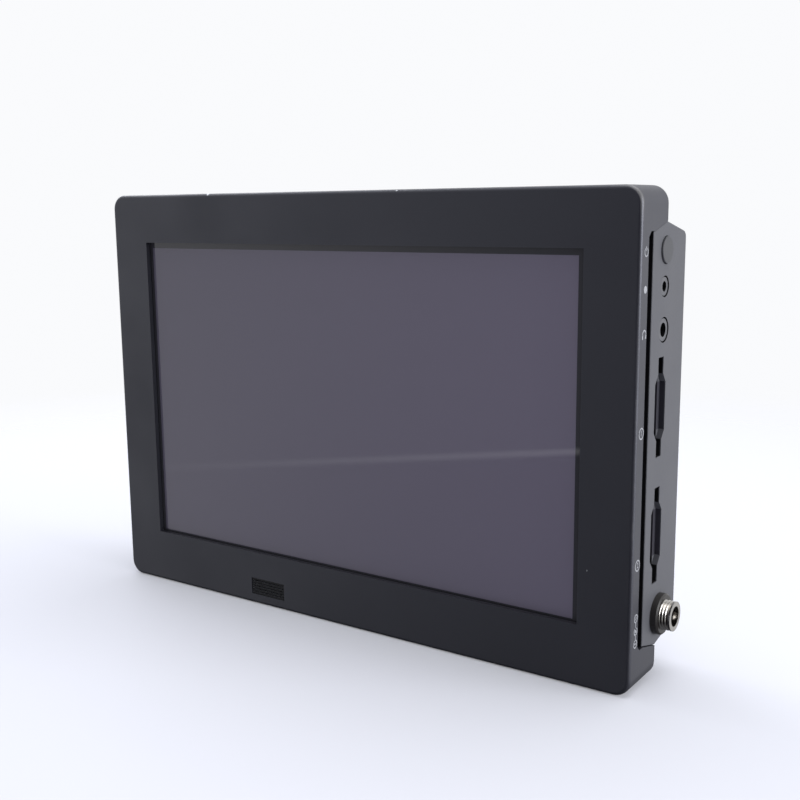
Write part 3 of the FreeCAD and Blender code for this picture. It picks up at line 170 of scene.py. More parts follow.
floor_mesh = bpy.data.meshes.new("table")
shape = bmesh.new()
bmesh.ops.create_circle(shape, cap_ends=True, segments=FLOOR_SIDES, radius=FLOOR_REACH)
shape.to_mesh(floor_mesh)
shape.free()
floor_mesh.transform(Matrix.Translation((0, 0, -FLOOR_DROP)))
floor = bpy.data.objects.new("table", floor_mesh)
scene.collection.objects.link(floor)
floor.visible_glossy = False
table_top = bpy.data.materials.new("table_top")
table_top.use_nodes = True
tree = table_top.node_tree
tree.nodes.clear()
spot = add_node(tree, "ShaderNodeTexCoord").outputs["Object"]
fade = map_range(tree, vector_node(tree, "LENGTH", spot), FADE_START, FADE_END, LEAST_FADE, soft=True)
from_below = add_node(tree, "ShaderNodeNewGeometry").outputs["Backfacing"]
see_through = math_node(tree, "MAXIMUM", fade, from_below)
paper = add_node(tree, "ShaderNodeBsdfDiffuse", {"Color": FLOOR_COLOUR})
clear = add_node(tree, "ShaderNodeBsdfTransparent")
either = add_node(tree, "ShaderNodeMixShader", {0: see_through, 1: paper.outputs[0], 2: clear.outputs[0]})
add_node(tree, "ShaderNodeOutputMaterial", {"Surface": either.outputs[0]})
floor_mesh.materials.append(table_top)

LAMP_AIM = Vector((0, 0, 60)) * MM


def soft_lamp(name, place, watts, size, colour):
    """An area lamp that faces the middle of the monitor."""
    lamp = bpy.data.objects.new(name, bpy.data.lights.new(name, "AREA"))
    lamp.data.energy = watts
    lamp.data.size = size
    lamp.data.color = colour
    aim = LAMP_AIM - Vector(place)
    lamp.matrix_world = Matrix.Translation(place) @ aim.to_track_quat("-Z", "Y").to_matrix().to_4x4()
    scene.collection.objects.link(lamp)


soft_lamp("overhead_lamp", place=(0.08, 0.16, 0.98), watts=6.6, size=0.9, colour=(1.0, 1.0, 1.0))
soft_lamp("right_lamp", place=(0.95, 0.12, 0.2), watts=8.5, size=0.6, colour=(0.97, 0.98, 1.0))
soft_lamp("left_lamp", place=(-0.75, 0.25, 0.55), watts=4.5, size=0.7, colour=(0.93, 0.95, 1.0))


# Front frame: one cast light alloy piece in dark grey paint with a fine texture. The paint is rubbed
# along the outer edges and chipped in a few places, and on the rounding at two corners it is paler,
# rubbed paint with a painted highlight. The grooves in its sides, in front of the port plates, are
# painted black: painted shade.
def new_finish(name):
    """A material with its tree and its main shader."""
    material = bpy.data.materials.new(name)
    material.use_nodes = True
    tree = material.node_tree
    return material, tree, tree.nodes["Principled BSDF"]


def new_group(name, takes, gives):
    """An empty shader group with named sockets."""
    group = bpy.data.node_groups.new(name, "ShaderNodeTree")
    for label, kind, value in takes:
        group.interface.new_socket(label, in_out="INPUT", socket_type=kind).default_value = value
    for label in gives:
        group.interface.new_socket(label, in_out="OUTPUT", socket_type="NodeSocketFloat")
    return group, group.nodes.new("NodeGroupInput").outputs, group.nodes.new("NodeGroupOutput").inputs


# Fine texture of paint and moulded plastic: small grain for the bump, and wide soft patches where
# handling has changed the gloss
surface_grain, takes, gives = new_group(
    "surface_grain",
    [("Grain Size", "NodeSocketFloat", 0.4 * MM), ("Patch Size", "NodeSocketFloat", 20 * MM),
     ("Smooth", "NodeSocketFloat", 0.4), ("Rough", "NodeSocketFloat", 0.6)],
    ["Height", "Patches", "Roughness"])
tree = surface_grain
spot = add_node(tree, "ShaderNodeTexCoord").outputs["Object"]
grain_scale = math_node(tree, "DIVIDE", 1.0, takes["Grain Size"])
patch_scale = math_node(tree, "DIVIDE", 1.0, takes["Patch Size"])
grain = add_node(tree, "ShaderNodeTexNoise", {"Vector": spot, "Scale": grain_scale, "Detail": 3.0})
patch = add_node(tree, "ShaderNodeTexNoise", {"Vector": spot, "Scale": patch_scale, "Detail": 5.0})
tree.links.new(grain.outputs["Fac"], gives["Height"])
tree.links.new(patch.outputs["Fac"], gives["Patches"])
tree.links.new(map_range(tree, patch.outputs["Fac"], 0.3, 0.7, takes["Smooth"], takes["Rough"]),
               gives["Roughness"])

# Edge wear on a box shaped piece: a point's second smallest distance to the faces is its distance
# to the nearest edge, and the worn strip along that edge is broken up by noise
edge_wear, takes, gives = new_group(
    "edge_wear",
    [("Centre", "NodeSocketVector", (0, 0, 0)), ("Half Size", "NodeSocketVector", (1, 1, 1)),
     ("Width", "NodeSocketFloat", 0.6 * MM), ("Break Up", "NodeSocketFloat", 4 * MM)],
    ["Mask"])
tree = edge_wear
spot = add_node(tree, "ShaderNodeTexCoord").outputs["Object"]
offset = vector_node(tree, "ABSOLUTE", vector_node(tree, "SUBTRACT", spot, takes["Centre"]))
inside = vector_node(tree, "SUBTRACT", takes["Half Size"], offset)
gap = add_node(tree, "ShaderNodeSeparateXYZ", {0: inside}).outputs
lesser = math_node(tree, "MINIMUM", gap["X"], gap["Y"])
greater = math_node(tree, "MAXIMUM", gap["X"], gap["Y"])
to_edge = math_node(tree, "MAXIMUM", lesser, math_node(tree, "MINIMUM", greater, gap["Z"]))
break_scale = math_node(tree, "DIVIDE", 1.0, takes["Break Up"])
uneven = add_node(tree, "ShaderNodeTexNoise", {"Vector": spot, "Scale": break_scale, "Detail": 6.0})
strip = math_node(tree, "MULTIPLY", takes["Width"], map_range(tree, uneven.outputs["Fac"], 0.45, 0.72))
tree.links.new(map_range(tree, to_edge, 0.0, strip, 1.0, 0.0, soft=True), gives["Mask"])

# Mask of a box shaped region, for the painted shade and light inside gaps and slots and for printed
# areas: a point is inside when it lies between the low and the high corner on every axis
box_mask, takes, gives = new_group(
    "box_mask",
    [("Low", "NodeSocketVector", (0, 0, 0)), ("High", "NodeSocketVector", (1, 1, 1))],
    ["Mask"])
tree = box_mask
spot = add_node(tree, "ShaderNodeTexCoord").outputs["Object"]
over = vector_node(tree, "SUBTRACT", spot, takes["Low"])
under = vector_node(tree, "SUBTRACT", takes["High"], spot)
gap = add_node(tree, "ShaderNodeSeparateXYZ", {0: vector_node(tree, "MINIMUM", over, under)}).outputs
least = math_node(tree, "MINIMUM", gap["X"], math_node(tree, "MINIMUM", gap["Y"], gap["Z"]))
tree.links.new(math_node(tree, "GREATER_THAN", least, 0.0), gives["Mask"])


def group_node(tree, group, **values):
    """Place a shader group and set its inputs, with _ for a space in their names."""
    made = add_node(tree, "ShaderNodeGroup", node_tree=group)
    for label, value in values.items():
        made.inputs[label.replace("_", " ")].default_value = value
    return made.outputs


def scaled(colour, factor):
    """A lighter or darker colour."""
    return tuple(factor * part for part in colour)


def paint_box(tree, colour, low, high, other):
    """Change a colour to another inside a box."""
    return blend_colour(tree, group_node(tree, box_mask, Low=low, High=high)["Mask"], colour, other)


def bump(tree, shader, height, depth):
    """Raise the surface by a height pattern, depth in metres."""
    raised = add_node(tree, "ShaderNodeBump", {"Height": height, "Strength": 1.0, "Distance": depth})
    tree.links.new(raised.outputs[0], shader.inputs["Normal"])


def dress(material, *names):
    """Give CAD nodes a material in place of their plain one."""
    for name in names:
        nodes[name].data.materials.clear()
        nodes[name].data.materials.append(material)


PAINT = (0.014, 0.014, 0.019)
PAINT_SHEEN = (0.86, 0.88, 1.0, 1)
# Paint rubbed pale, also used at two corners as a painted highlight on the rounding
RUBBED_AND_HIGHLIT_PAINT = (0.12, 0.116, 0.108)
BARE_ALLOY = (0.45, 0.46, 0.48)
CHIPS = (
    (Vector((-49.0, -8.1, 128.4)) * MM, 0.6 * MM),
    (Vector((21.5, -8.3, 128.3)) * MM, 0.3 * MM),
    (Vector((79.5, -8.4, 32.0)) * MM, 0.22 * MM),
)
CORNER_HIGHLIGHT_REACH = 9.0 * MM
CORNER_HIGHLIGHT_START = 0.11 * MM
CORNER_HIGHLIGHT_END = 1.1 * MM
PAINTED_SHADE_BLACK = (0.003, 0.003, 0.004)
GAP_FRONT = -3.95 * MM
GAP_DEPTH = 2.6 * MM
GAP_END = 2.2 * MM
MARGIN = 0.25 * MM
frame_low, frame_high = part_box("front_frame")
plate_low, plate_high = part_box("right_port_plate")

paint, tree, shader = new_finish("frame_paint")
spot = add_node(tree, "ShaderNodeTexCoord").outputs["Object"]
grain = group_node(tree, surface_grain, Grain_Size=0.35 * MM, Patch_Size=25 * MM, Smooth=0.42, Rough=0.55)
handled = blend_colour(tree, grain["Patches"], PAINT, scaled(PAINT, 1.12))

wear = group_node(tree, edge_wear, Centre=(frame_low + frame_high) / 2,
                  Half_Size=(frame_high - frame_low) / 2, Width=1.1 * MM, Break_Up=5 * MM)["Mask"]
# Wear and painted highlight: near the top right and bottom left corners the front edge's rounding is paler,
# rubbed paint with a painted highlight on it.
worn_and_highlit_corners = 0.0
for x, z in ((frame_high.x, frame_high.z), (frame_low.x, frame_low.z)):
    away = vector_node(tree, "DISTANCE", spot, (x, frame_low.y, z))
    worn_and_highlit_corners = math_node(tree, "MAXIMUM", worn_and_highlit_corners, map_range(tree, away, 0.0, CORNER_HIGHLIGHT_REACH, 1.0, 0.0))
rounding = group_node(tree, box_mask, Low=frame_low + Vector((-MARGIN, CORNER_HIGHLIGHT_START, -MARGIN)),
                      High=(frame_high.x + MARGIN, frame_low.y + CORNER_HIGHLIGHT_END, frame_high.z + MARGIN))["Mask"]
worn_and_highlit_corners = math_node(tree, "MULTIPLY", worn_and_highlit_corners, rounding)
rubbed_and_highlit = math_node(tree, "MAXIMUM", math_node(tree, "MULTIPLY", wear, 0.25), worn_and_highlit_corners)
handled = blend_colour(tree, rubbed_and_highlit, handled, RUBBED_AND_HIGHLIT_PAINT)

# Painted shade: the grooves in both sides of the frame are painted black.
gap_low = Vector((frame_high.x - GAP_DEPTH, GAP_FRONT, plate_low.z + GAP_END))
gap_high = Vector((frame_high.x - MARGIN, plate_low.y + MARGIN, plate_high.z - GAP_END))
for move in (0, gap_low.x + gap_high.x):
    to_left = Vector((move, 0, 0))
    handled = paint_box(tree, handled, gap_low - to_left, gap_high - to_left, PAINTED_SHADE_BLACK)

ragged = add_node(tree, "ShaderNodeTexNoise", {"Vector": spot, "Scale": 2600.0, "Detail": 2.0})
chipped = 0.0
for place, radius in CHIPS:
    torn = math_node(tree, "MULTIPLY", ragged.outputs["Fac"], 2 * radius)
    inside = math_node(tree, "LESS_THAN", vector_node(tree, "DISTANCE", spot, place), torn)
    chipped = math_node(tree, "MAXIMUM", chipped, inside)
tree.links.new(blend_colour(tree, chipped, handled, BARE_ALLOY), shader.inputs["Base Color"])
tree.links.new(chipped, shader.inputs["Metallic"])
tree.links.new(grain["Roughness"], shader.inputs["Roughness"])
shader.inputs["Specular IOR Level"].default_value = 0.8
shader.inputs["Specular Tint"].default_value = PAINT_SHEEN
bump(tree, shader, grain["Height"], 0.02 * MM)
dress(paint, "front_frame")


# Tripod thread inserts: turned steel, pressed flush into the frame, three in the top face and three
# in the bottom. The ridges of the quarter inch thread wind down inside each bore.
def metal(name, colour, rough, stretch=(1, 1, 1)):
    """A bare or plated metal with fine tool marks, drawn out along the axes with a small stretch."""
    material, tree, shader = new_finish(name)
    spot = add_node(tree, "ShaderNodeTexCoord").outputs["Object"]
    drawn = add_node(tree, "ShaderNodeMapping", {"Vector": spot, "Scale": stretch}).outputs[0]
    marks = add_node(tree, "ShaderNodeTexNoise", {"Vector": drawn, "Scale": 1 / (0.3 * MM), "Detail": 4.0})
    stain = group_node(tree, surface_grain, Grain_Size=0.6 * MM, Patch_Size=4 * MM,
                       Smooth=rough[0], Rough=rough[1])
    tone = blend_colour(tree, stain["Patches"], colour, scaled(colour, 0.8))
    tree.links.new(tone, shader.inputs["Base Color"])
    shader.inputs["Metallic"].default_value = 1.0
    tree.links.new(stain["Roughness"], shader.inputs["Roughness"])
    bump(tree, shader, marks.outputs["Fac"], 0.002 * MM)
    return material


def geometry_tree(name, takes):
    """An empty geometry tree with named inputs, the last of them its material."""
    tree = bpy.data.node_groups.new(name, "GeometryNodeTree")
    tree.interface.new_socket("Geometry", in_out="INPUT", socket_type="NodeSocketGeometry")
    for label, kind in takes:
        tree.interface.new_socket(label, in_out="INPUT", socket_type=kind)
    tree.interface.new_socket("Finish", in_out="INPUT", socket_type="NodeSocketMaterial")
    tree.interface.new_socket("Geometry", in_out="OUTPUT", socket_type="NodeSocketGeometry")
    return tree, tree.nodes.new("NodeGroupInput").outputs


def end_tree(tree, taken, instances):
    """Close a geometry tree with real faces in the chosen material."""
    real = add_node(tree, "GeometryNodeRealizeInstances", {0: instances}).outputs[0]
    dressed = add_node(tree, "GeometryNodeSetMaterial", {"Geometry": real, "Material": taken["Finish"]})
    add_node(tree, "NodeGroupOutput", {0: dressed.outputs[0]})


def grow(name, tree, places, material, **values):
    """Run a geometry tree on a set of points and keep the result as a plain mesh."""
    points = bpy.data.meshes.new(name + "_places")
    points.from_pydata([tuple(place) for place in places], [], [])
    maker = bpy.data.objects.new(name + "_maker", points)
    scene.collection.objects.link(maker)
    modifier = maker.modifiers.new("grow", "NODES")
    modifier.node_group = tree
    values["Finish"] = material
    for socket in tree.interface.items_tree:
        label = socket.name.replace(" ", "_")
        if socket.in_out == "INPUT" and label in values:
            modifier[socket.identifier] = values[label]
    evaluated = maker.evaluated_get(bpy.context.evaluated_depsgraph_get())
    mesh = bpy.data.meshes.new_from_object(evaluated)
    bpy.data.objects.remove(maker)
    piece = bpy.data.objects.new(name, mesh)
    scene.collection.objects.link(piece)
    return piece


THREAD_RADIUS = 3.225 * MM
THREAD_PITCH = 1.27 * MM
RIDGE_DEPTH = 0.34 * MM
INSERT_RADIUS = 4.6 * MM
INSERT_LENGTH = 7.8 * MM

turned_steel = metal("turned_steel", (0.36, 0.36, 0.37), rough=(0.25, 0.42), stretch=(1, 1, 6))
dress(turned_steel, "thread_inserts")
thread_tree, taken = geometry_tree("thread_ridges", [
    ("Radius", "NodeSocketFloat"), ("Length", "NodeSocketFloat"), ("Pitch", "NodeSocketFloat"),
    ("Ridge", "NodeSocketFloat")])
turns = math_node(thread_tree, "DIVIDE", taken["Length"], taken["Pitch"])
spine = add_node(thread_tree, "GeometryNodeCurveSpiral", {
    "Resolution": 36, "Rotations": turns, "Start Radius": taken["Radius"], "End Radius": taken["Radius"],
    "Height": taken["Length"]})
ridge = add_node(thread_tree, "GeometryNodeCurvePrimitiveCircle", {
    "Resolution": 3, "Radius": taken["Ridge"]})
wound = add_node(thread_tree, "GeometryNodeCurveToMesh", {
    "Curve": spine.outputs[0], "Profile Curve": ridge.outputs[0], "Fill Caps": True})
copies = add_node(thread_tree, "GeometryNodeInstanceOnPoints", {
    "Points": taken["Geometry"], "Instance": wound.outputs[0]})
end_tree(thread_tree, taken, copies.outputs[0])

insert_low, insert_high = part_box("thread_inserts")
outer = insert_high.x - INSERT_RADIUS
thread_starts = (insert_low.z + 2 * RIDGE_DEPTH, insert_high.z - INSERT_LENGTH + 2 * RIDGE_DEPTH)
thread_places = [(x, 0, z) for x in (-outer, 0, outer) for z in thread_starts]
threads = grow("tripod_thread_ridges", thread_tree, thread_places, turned_steel, Radius=THREAD_RADIUS,
               Length=INSERT_LENGTH - 4 * RIDGE_DEPTH, Pitch=THREAD_PITCH, Ridge=RIDGE_DEPTH)
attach(threads, "case")


# Speaker: a black slotted insert of moulded plastic, pressed into the lower bezel, with the small
# driver glued behind it. The insides of its slots are painted a lighter grey: painted light.
def moulded(name, colour, rough, grain, depth, worn=None, wear_width=0.5 * MM, specular=0.4, painted=()):
    """Moulded plastic: fine spark-eroded grain, handled patches, paler edges on a worn node and boxes
    that have another colour, used here for painted light and shade."""
    material, tree, shader = new_finish(name)
    texture = group_node(tree, surface_grain, Grain_Size=grain, Patch_Size=18 * MM,
                         Smooth=rough[0], Rough=rough[1])
    tone = blend_colour(tree, texture["Patches"], colour, scaled(colour, 1.15))
    if worn:
        low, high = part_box(worn)
        wear = group_node(tree, edge_wear, Centre=(low + high) / 2, Half_Size=(high - low) / 2,
                          Width=wear_width, Break_Up=3 * MM)["Mask"]
        pale = tuple(1.35 * part + 0.01 for part in colour)
        tone = blend_colour(tree, math_node(tree, "MULTIPLY", wear, 0.6), tone, pale)
    for low, high, other in painted:
        tone = paint_box(tree, tone, low, high, other)
    tree.links.new(tone, shader.inputs["Base Color"])
    tree.links.new(texture["Roughness"], shader.inputs["Roughness"])
    shader.inputs["Specular IOR Level"].default_value = specular
    bump(tree, shader, texture["Height"], depth)
    return material


SPEAKER_BLACK = (0.011, 0.011, 0.0125)
# Painted light: the grille's slots are lighter grey inside, where they would lie in shade.
SLOT_PAINTED_LIGHT = (0.17, 0.17, 0.18)
SLOT_START = 0.1 * MM
grille_low, grille_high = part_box("speaker_grille")
lit_grille_slots = (grille_low + Vector((0, SLOT_START, 0)), grille_high, SLOT_PAINTED_LIGHT)
grille_black = moulded("grille_black", SPEAKER_BLACK, rough=(0.45, 0.6), grain=0.25 * MM, depth=0.01 * MM,
                       worn="speaker_grille", wear_width=0.2 * MM, specular=0.25, painted=[lit_grille_slots])
dress(grille_black, "speaker_grille", "speaker")


# Display: the panel is bonded behind a cover glass with a dark printed border and reads grey with a
# violet cast when it is off. The glass's colour is painted lighter towards the right and the top:
# painted light. A thin gasket seals the glass to the frame's lip, and the backlight lies behind the
# panel.
ACTIVE_LEFT = -75.8 * MM
ACTIVE_RIGHT = 74.85 * MM
ACTIVE_LOW = 17.5 * MM
ACTIVE_HIGH = 111.6 * MM
DISPLAY_OFF = (0.109, 0.098, 0.128)
DISPLAY_PAINTED_LIGHT = (0.174, 0.154, 0.2)
LOW_PAINTED_LIGHT_SHARE = 0.65
BORDER_PRINT = (0.036, 0.035, 0.04)
GLASS_INDEX = 1.5

glass, tree, shader = new_finish("bonded_glass")
spot = add_node(tree, "ShaderNodeTexCoord").outputs["Object"]
axis = add_node(tree, "ShaderNodeSeparateXYZ", {0: spot}).outputs
# Painted light: the panel is lighter towards the right, and more so high up than low down.
to_right = map_range(tree, axis["X"], ACTIVE_LEFT, ACTIVE_RIGHT)
upward = map_range(tree, axis["Z"], ACTIVE_LOW, ACTIVE_HIGH, LOW_PAINTED_LIGHT_SHARE, 1.0)
panel = blend_colour(tree, math_node(tree, "MULTIPLY", to_right, upward), DISPLAY_OFF, DISPLAY_PAINTED_LIGHT)
glass_low, glass_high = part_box("cover_glass")
active = group_node(tree, box_mask, Low=(ACTIVE_LEFT, glass_low.y - MARGIN, ACTIVE_LOW),
                    High=(ACTIVE_RIGHT, glass_high.y + MARGIN, ACTIVE_HIGH))["Mask"]
smudge = group_node(tree, surface_grain, Grain_Size=6 * MM, Patch_Size=50 * MM, Smooth=0.01, Rough=0.028)
tree.links.new(blend_colour(tree, active, BORDER_PRINT, panel), shader.inputs["Base Color"])
tree.links.new(smudge["Roughness"], shader.inputs["Roughness"])
shader.inputs["IOR"].default_value = GLASS_INDEX
dress(glass, "cover_glass")

panel_grey = moulded("panel_grey", DISPLAY_OFF, rough=(0.1, 0.2), grain=0.3 * MM, depth=0.002 * MM)
dress(panel_grey, "display_cell")
backlight_white = moulded("backlight_white", (0.75, 0.76, 0.78), rough=(0.5, 0.6), grain=0.5 * MM,
                          depth=0.01 * MM)
dress(backlight_white, "backlight")
gasket_rubber = moulded("gasket_rubber", (0.012, 0.012, 0.013), rough=(0.7, 0.85), grain=0.2 * MM,
                        depth=0.01 * MM)
dress(gasket_rubber, "glass_gasket")


# Inner frame: a sheet metal tray screwed to the frame's posts carries brass standoffs and the main
# board, with the flat flex and its socket. All of it is closed in by the rear cover.
sheet_steel = metal("sheet_steel", (0.5, 0.5, 0.51), rough=(0.28, 0.45), stretch=(0.08, 1, 1))
dress(sheet_steel, "mid_frame", "switch_dome")
black_steel = metal("black_steel", (0.045, 0.045, 0.05), rough=(0.3, 0.5))
dress(black_steel, "mid_frame_screws", "port_plate_screws")
brass = metal("turned_brass", (0.66, 0.5, 0.22), rough=(0.22, 0.38))
dress(brass, "standoffs")
board_resist = moulded("board_resist", (0.012, 0.075, 0.035), rough=(0.3, 0.4), grain=1.5 * MM,
                       depth=0.03 * MM)
dress(board_resist, "main_board")
flex_film = moulded("flex_film", (0.42, 0.19, 0.04), rough=(0.25, 0.35), grain=0.8 * MM, depth=0.005 * MM)
dress(flex_film, "display_flex")
black_plastic = moulded("black_plastic", (0.018, 0.018, 0.02), rough=(0.42, 0.58), grain=0.3 * MM,
                        depth=0.01 * MM)
dress(black_plastic, "flex_socket", "power_switch", "upper_card_slide", "lower_card_slide")


# Cooling: the processor passes its heat through a soft pad to an extruded finned sink, and a small
# axial fan behind the rear grille blows through the fins.
chip_black = moulded("chip_black", (0.02, 0.02, 0.022), rough=(0.3, 0.4), grain=0.2 * MM, depth=0.005 * MM)
dress(chip_black, "processor")
pad_blue = moulded("pad_blue", (0.22, 0.28, 0.4), rough=(0.7, 0.8), grain=0.4 * MM, depth=0.02 * MM)
dress(pad_blue, "thermal_pad")
sink_alloy = metal("sink_alloy", (0.55, 0.56, 0.58), rough=(0.3, 0.45), stretch=(1, 1, 0.05))
dress(sink_alloy, "heat_sink")
fan_black = moulded("fan_black", (0.022, 0.022, 0.025), rough=(0.35, 0.5), grain=0.4 * MM, depth=0.01 * MM)
dress(fan_black, "fan_frame", "fan_rotor")


# Rear cover: a moulded trough in dark grey plastic that closes the back. Black screws with six lobed
# sockets hold it, the fan and the battery plates, and each head lies in a counterbore.
CASE_GREY = (0.076, 0.077, 0.086)
SOCKET_POINTS = 48
SOCKET_LOBES = 6
LOBE_DEPTH = 0.16
SOCKET_SHARE = 0.42

case_plastic = moulded("case_plastic", CASE_GREY, rough=(0.5, 0.64), grain=0.45 * MM, depth=0.035 * MM,
                       worn="rear_cover", wear_width=0.8 * MM, specular=0.35)
dress(case_plastic, "rear_cover")


def socket_screw(name, head_radius, head_height, shank_radius, shank_length):
    """A pan head screw along +Y with its head's seat at the origin and a lobed socket in the head."""
    def lobed(radius):
        return lambda angle: radius * (1 + LOBE_DEPTH * math.cos(SOCKET_LOBES * angle))

    def plain(radius):
        return lambda angle: radius

    socket = SOCKET_SHARE * head_radius
    rings = [
        (-shank_length, plain(0.6 * shank_radius)),
        (-shank_length + 0.4 * shank_radius, plain(shank_radius)),
        (0, plain(shank_radius)),
        (0, plain(head_radius)),
        (0.55 * head_height, plain(head_radius)),
        (0.85 * head_height, plain(0.92 * head_radius)),
        (head_height, plain(0.76 * head_radius)),
        (head_height, lobed(1.06 * socket)),
        (0.95 * head_height, lobed(socket)),
        (0.42 * head_height, lobed(0.96 * socket))]
    angles = [math.tau * k / SOCKET_POINTS for k in range(SOCKET_POINTS)]
    shape = bmesh.new()
    loops = []
    for along, radius in rings:
        places = [(radius(a) * math.sin(a), along, radius(a) * math.cos(a)) for a in angles]
        loops.append([shape.verts.new(place) for place in places])
    for first, second in zip(loops, loops[1:]):
        for k in range(SOCKET_POINTS):
            after = (k + 1) % SOCKET_POINTS
            shape.faces.new((first[k], first[after], second[after], second[k]))
    shape.faces.new(loops[0])
    shape.faces.new(loops[-1])
    bmesh.ops.recalc_face_normals(shape, faces=shape.faces)
    mesh = bpy.data.meshes.new(name)
    shape.to_mesh(mesh)
    shape.free()
    return bpy.data.objects.new(name, mesh)


screw_tree, taken = geometry_tree("screw_set", [
    ("Screw", "NodeSocketObject"), ("Turn Seed", "NodeSocketInt")])
one_screw = add_node(screw_tree, "GeometryNodeObjectInfo", {"Object": taken["Screw"], "As Instance": True})
any_turn = add_node(screw_tree, "FunctionNodeRandomValue", {
    0: (0, 0, 0), 1: (0, math.tau, 0), "Seed": taken["Turn Seed"]}, data_type="FLOAT_VECTOR")
copies = add_node(screw_tree, "GeometryNodeInstanceOnPoints", {
    "Points": taken["Geometry"], "Instance": one_screw.outputs["Geometry"], "Rotation": any_turn.outputs[0]})
end_tree(screw_tree, taken, copies.outputs[0])


def screw_set(node, columns, head_radius, head_height, shank_radius, seed):
    """Screws in two rows at a node's lowest and highest places, standing for that node."""
    low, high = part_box(node)
    seat = high.y - head_height
    pattern = socket_screw(node + "_pattern", head_radius, head_height, shank_radius, seat - low.y)
    scene.collection.objects.link(pattern)
    places = [(x, seat, z) for x in columns for z in (low.z + head_radius, high.z - head_radius)]
    piece = grow(node + "_detail", screw_tree, places, black_steel, Screw=pattern, Turn_Seed=seed)
    bpy.data.objects.remove(pattern)
    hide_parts(node)
    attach(piece, "case")


CASE_HEAD = 2.3 * MM
CASE_HEAD_HEIGHT = 1.5 * MM
CASE_SHANK = 1.25 * MM
SMALL_HEAD = 1.8 * MM
SMALL_HEAD_HEIGHT = 1.2 * MM
SMALL_SHANK = 1.0 * MM
PLATE_SCREW_INSET = 3.5 * MM
case_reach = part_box("case_screws")[1].x - CASE_HEAD
screw_set("case_screws", (-case_reach, 0, case_reach), CASE_HEAD, CASE_HEAD_HEIGHT, CASE_SHANK, seed=3)
fan_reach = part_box("fan_screws")[1].x - SMALL_HEAD
screw_set("fan_screws", (-fan_reach, fan_reach), SMALL_HEAD, SMALL_HEAD_HEIGHT, SMALL_SHANK, seed=5)
bay_low, bay_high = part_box("right_battery_plate")
bay_columns = (bay_low.x + PLATE_SCREW_INSET, bay_high.x - PLATE_SCREW_INSET)
plate_columns = [side * x for side in (-1, 1) for x in bay_columns]
screw_set("battery_plate_screws", plate_columns, SMALL_HEAD, SMALL_HEAD_HEIGHT, SMALL_SHANK, seed=8)


# Battery bays: black moulded plates with hooks and a terminal block, gold plated blades, and catches
# in a paler grey that drop behind the battery, each on a coil spring.
BAY_BLACK = (0.02, 0.02, 0.022)
CATCH_GREY = (0.1, 0.102, 0.11)
COIL_STEPS = 28
CLOSED_TURN = 0.75

for side in ("left", "right"):
    bay_black = moulded(f"{side}_bay_black", BAY_BLACK, rough=(0.45, 0.6), grain=0.4 * MM, depth=0.02 * MM,
                        worn=f"{side}_battery_plate", wear_width=0.6 * MM)
    dress(bay_black, f"{side}_battery_plate")
    catch_grey = moulded(f"{side}_catch_grey", CATCH_GREY, rough=(0.38, 0.5), grain=0.3 * MM, depth=0.01 * MM,
                         worn=f"{side}_battery_catch", wear_width=0.5 * MM)
    dress(catch_grey, f"{side}_battery_catch")
gold = metal("gold_plate", (0.83, 0.62, 0.27), rough=(0.15, 0.3))
dress(gold, "battery_terminals", "coax_contacts", "audio_pins")
spring_steel = metal("spring_steel", (0.5, 0.5, 0.51), rough=(0.2, 0.35))


def middle_of(node):
    """Centre of the box around a node."""
    low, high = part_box(node)
    return (low + high) / 2


def coil_spring(name, mover, axis, radius, wire, turns):
    """A closed end compression spring between its seat and a moving node, wound to the node's rest
    place."""
    k = axis.index(1)
    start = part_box(name)[0][k]
    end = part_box(mover)[0][k]
    centre = middle_of(mover)
    centre[k] = 0
    along = Vector(axis)
    across = Vector((0, 0, 1))
    beside = along.cross(across)
    curve = bpy.data.curves.new(name, "CURVE")
    curve.dimensions = "3D"
    curve.bevel_depth = wire
    curve.bevel_resolution = 3
    curve.use_fill_caps = True
    spline = curve.splines.new("POLY")
    steps = int(turns * COIL_STEPS)
    spline.points.add(steps)
    for step in range(steps + 1):
        turn = turns * step / steps
        angle = math.tau * turn
        rise = min(max((turn - CLOSED_TURN) / (turns - 2 * CLOSED_TURN), 0), 1)
        place = centre + along * (start + wire + (end - start - 2 * wire) * rise)
        place += radius * (math.cos(angle) * across + math.sin(angle) * beside)
        spline.points[step].co = (*place, 1)
    maker = bpy.data.objects.new(name + "_path", curve)
    scene.collection.objects.link(maker)
    mesh = bpy.data.meshes.new_from_object(maker.evaluated_get(bpy.context.evaluated_depsgraph_get()))
    bpy.data.objects.remove(maker)
    mesh.materials.clear()
    mesh.materials.append(spring_steel)
    piece = bpy.data.objects.new(name + "_wound", mesh)
    scene.collection.objects.link(piece)
    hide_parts(name)
    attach(piece, "case")
    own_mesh(piece)


for side in ("left", "right"):
    coil_spring(f"{side}_catch_spring", f"{side}_battery_catch", (0, 1, 0),
                radius=2.6 * MM, wire=0.4 * MM, turns=5)


# Right port plate: the same grey plastic, set behind a shadow gap in the frame's side, with the power
# button, two round jacks, two card slots and the power inlet. Its front edge in the gap and what lies
# deep in its slots and holes are painted black, and the finger scoops are painted dark: painted shade.
CARD_SLOT = 3.4 * MM
CARD_SLOT_LENGTH = 25.7 * MM
SCOOP_WIDTH = 7.0 * MM
SCOOP_FLAT = 12.4 * MM
SCOOP_SHADE = (0.028, 0.027, 0.036)
REMOTE_HOLE = 5.4 * MM
REMOTE_BORE = 1.3 * MM
PHONES_HOLE = 6.5 * MM
PHONES_BORE = 1.8 * MM
BORE_SHADE = (0.006, 0.006, 0.007)
EASE = 0.02 * MM
JACK_LIP = 0.05 * MM


def recess(node, width, length, under_face, colour):
    """The space of an opening around a node's middle, from behind the plate to just under its face."""
    middle = middle_of(node)
    reach = Vector((0, width / 2 + EASE, length / 2 + EASE))
    low = Vector((plate_low.x - MARGIN, middle.y, middle.z)) - reach
    high = Vector((plate_high.x - under_face, middle.y, middle.z)) + reach
    return low, high, colour
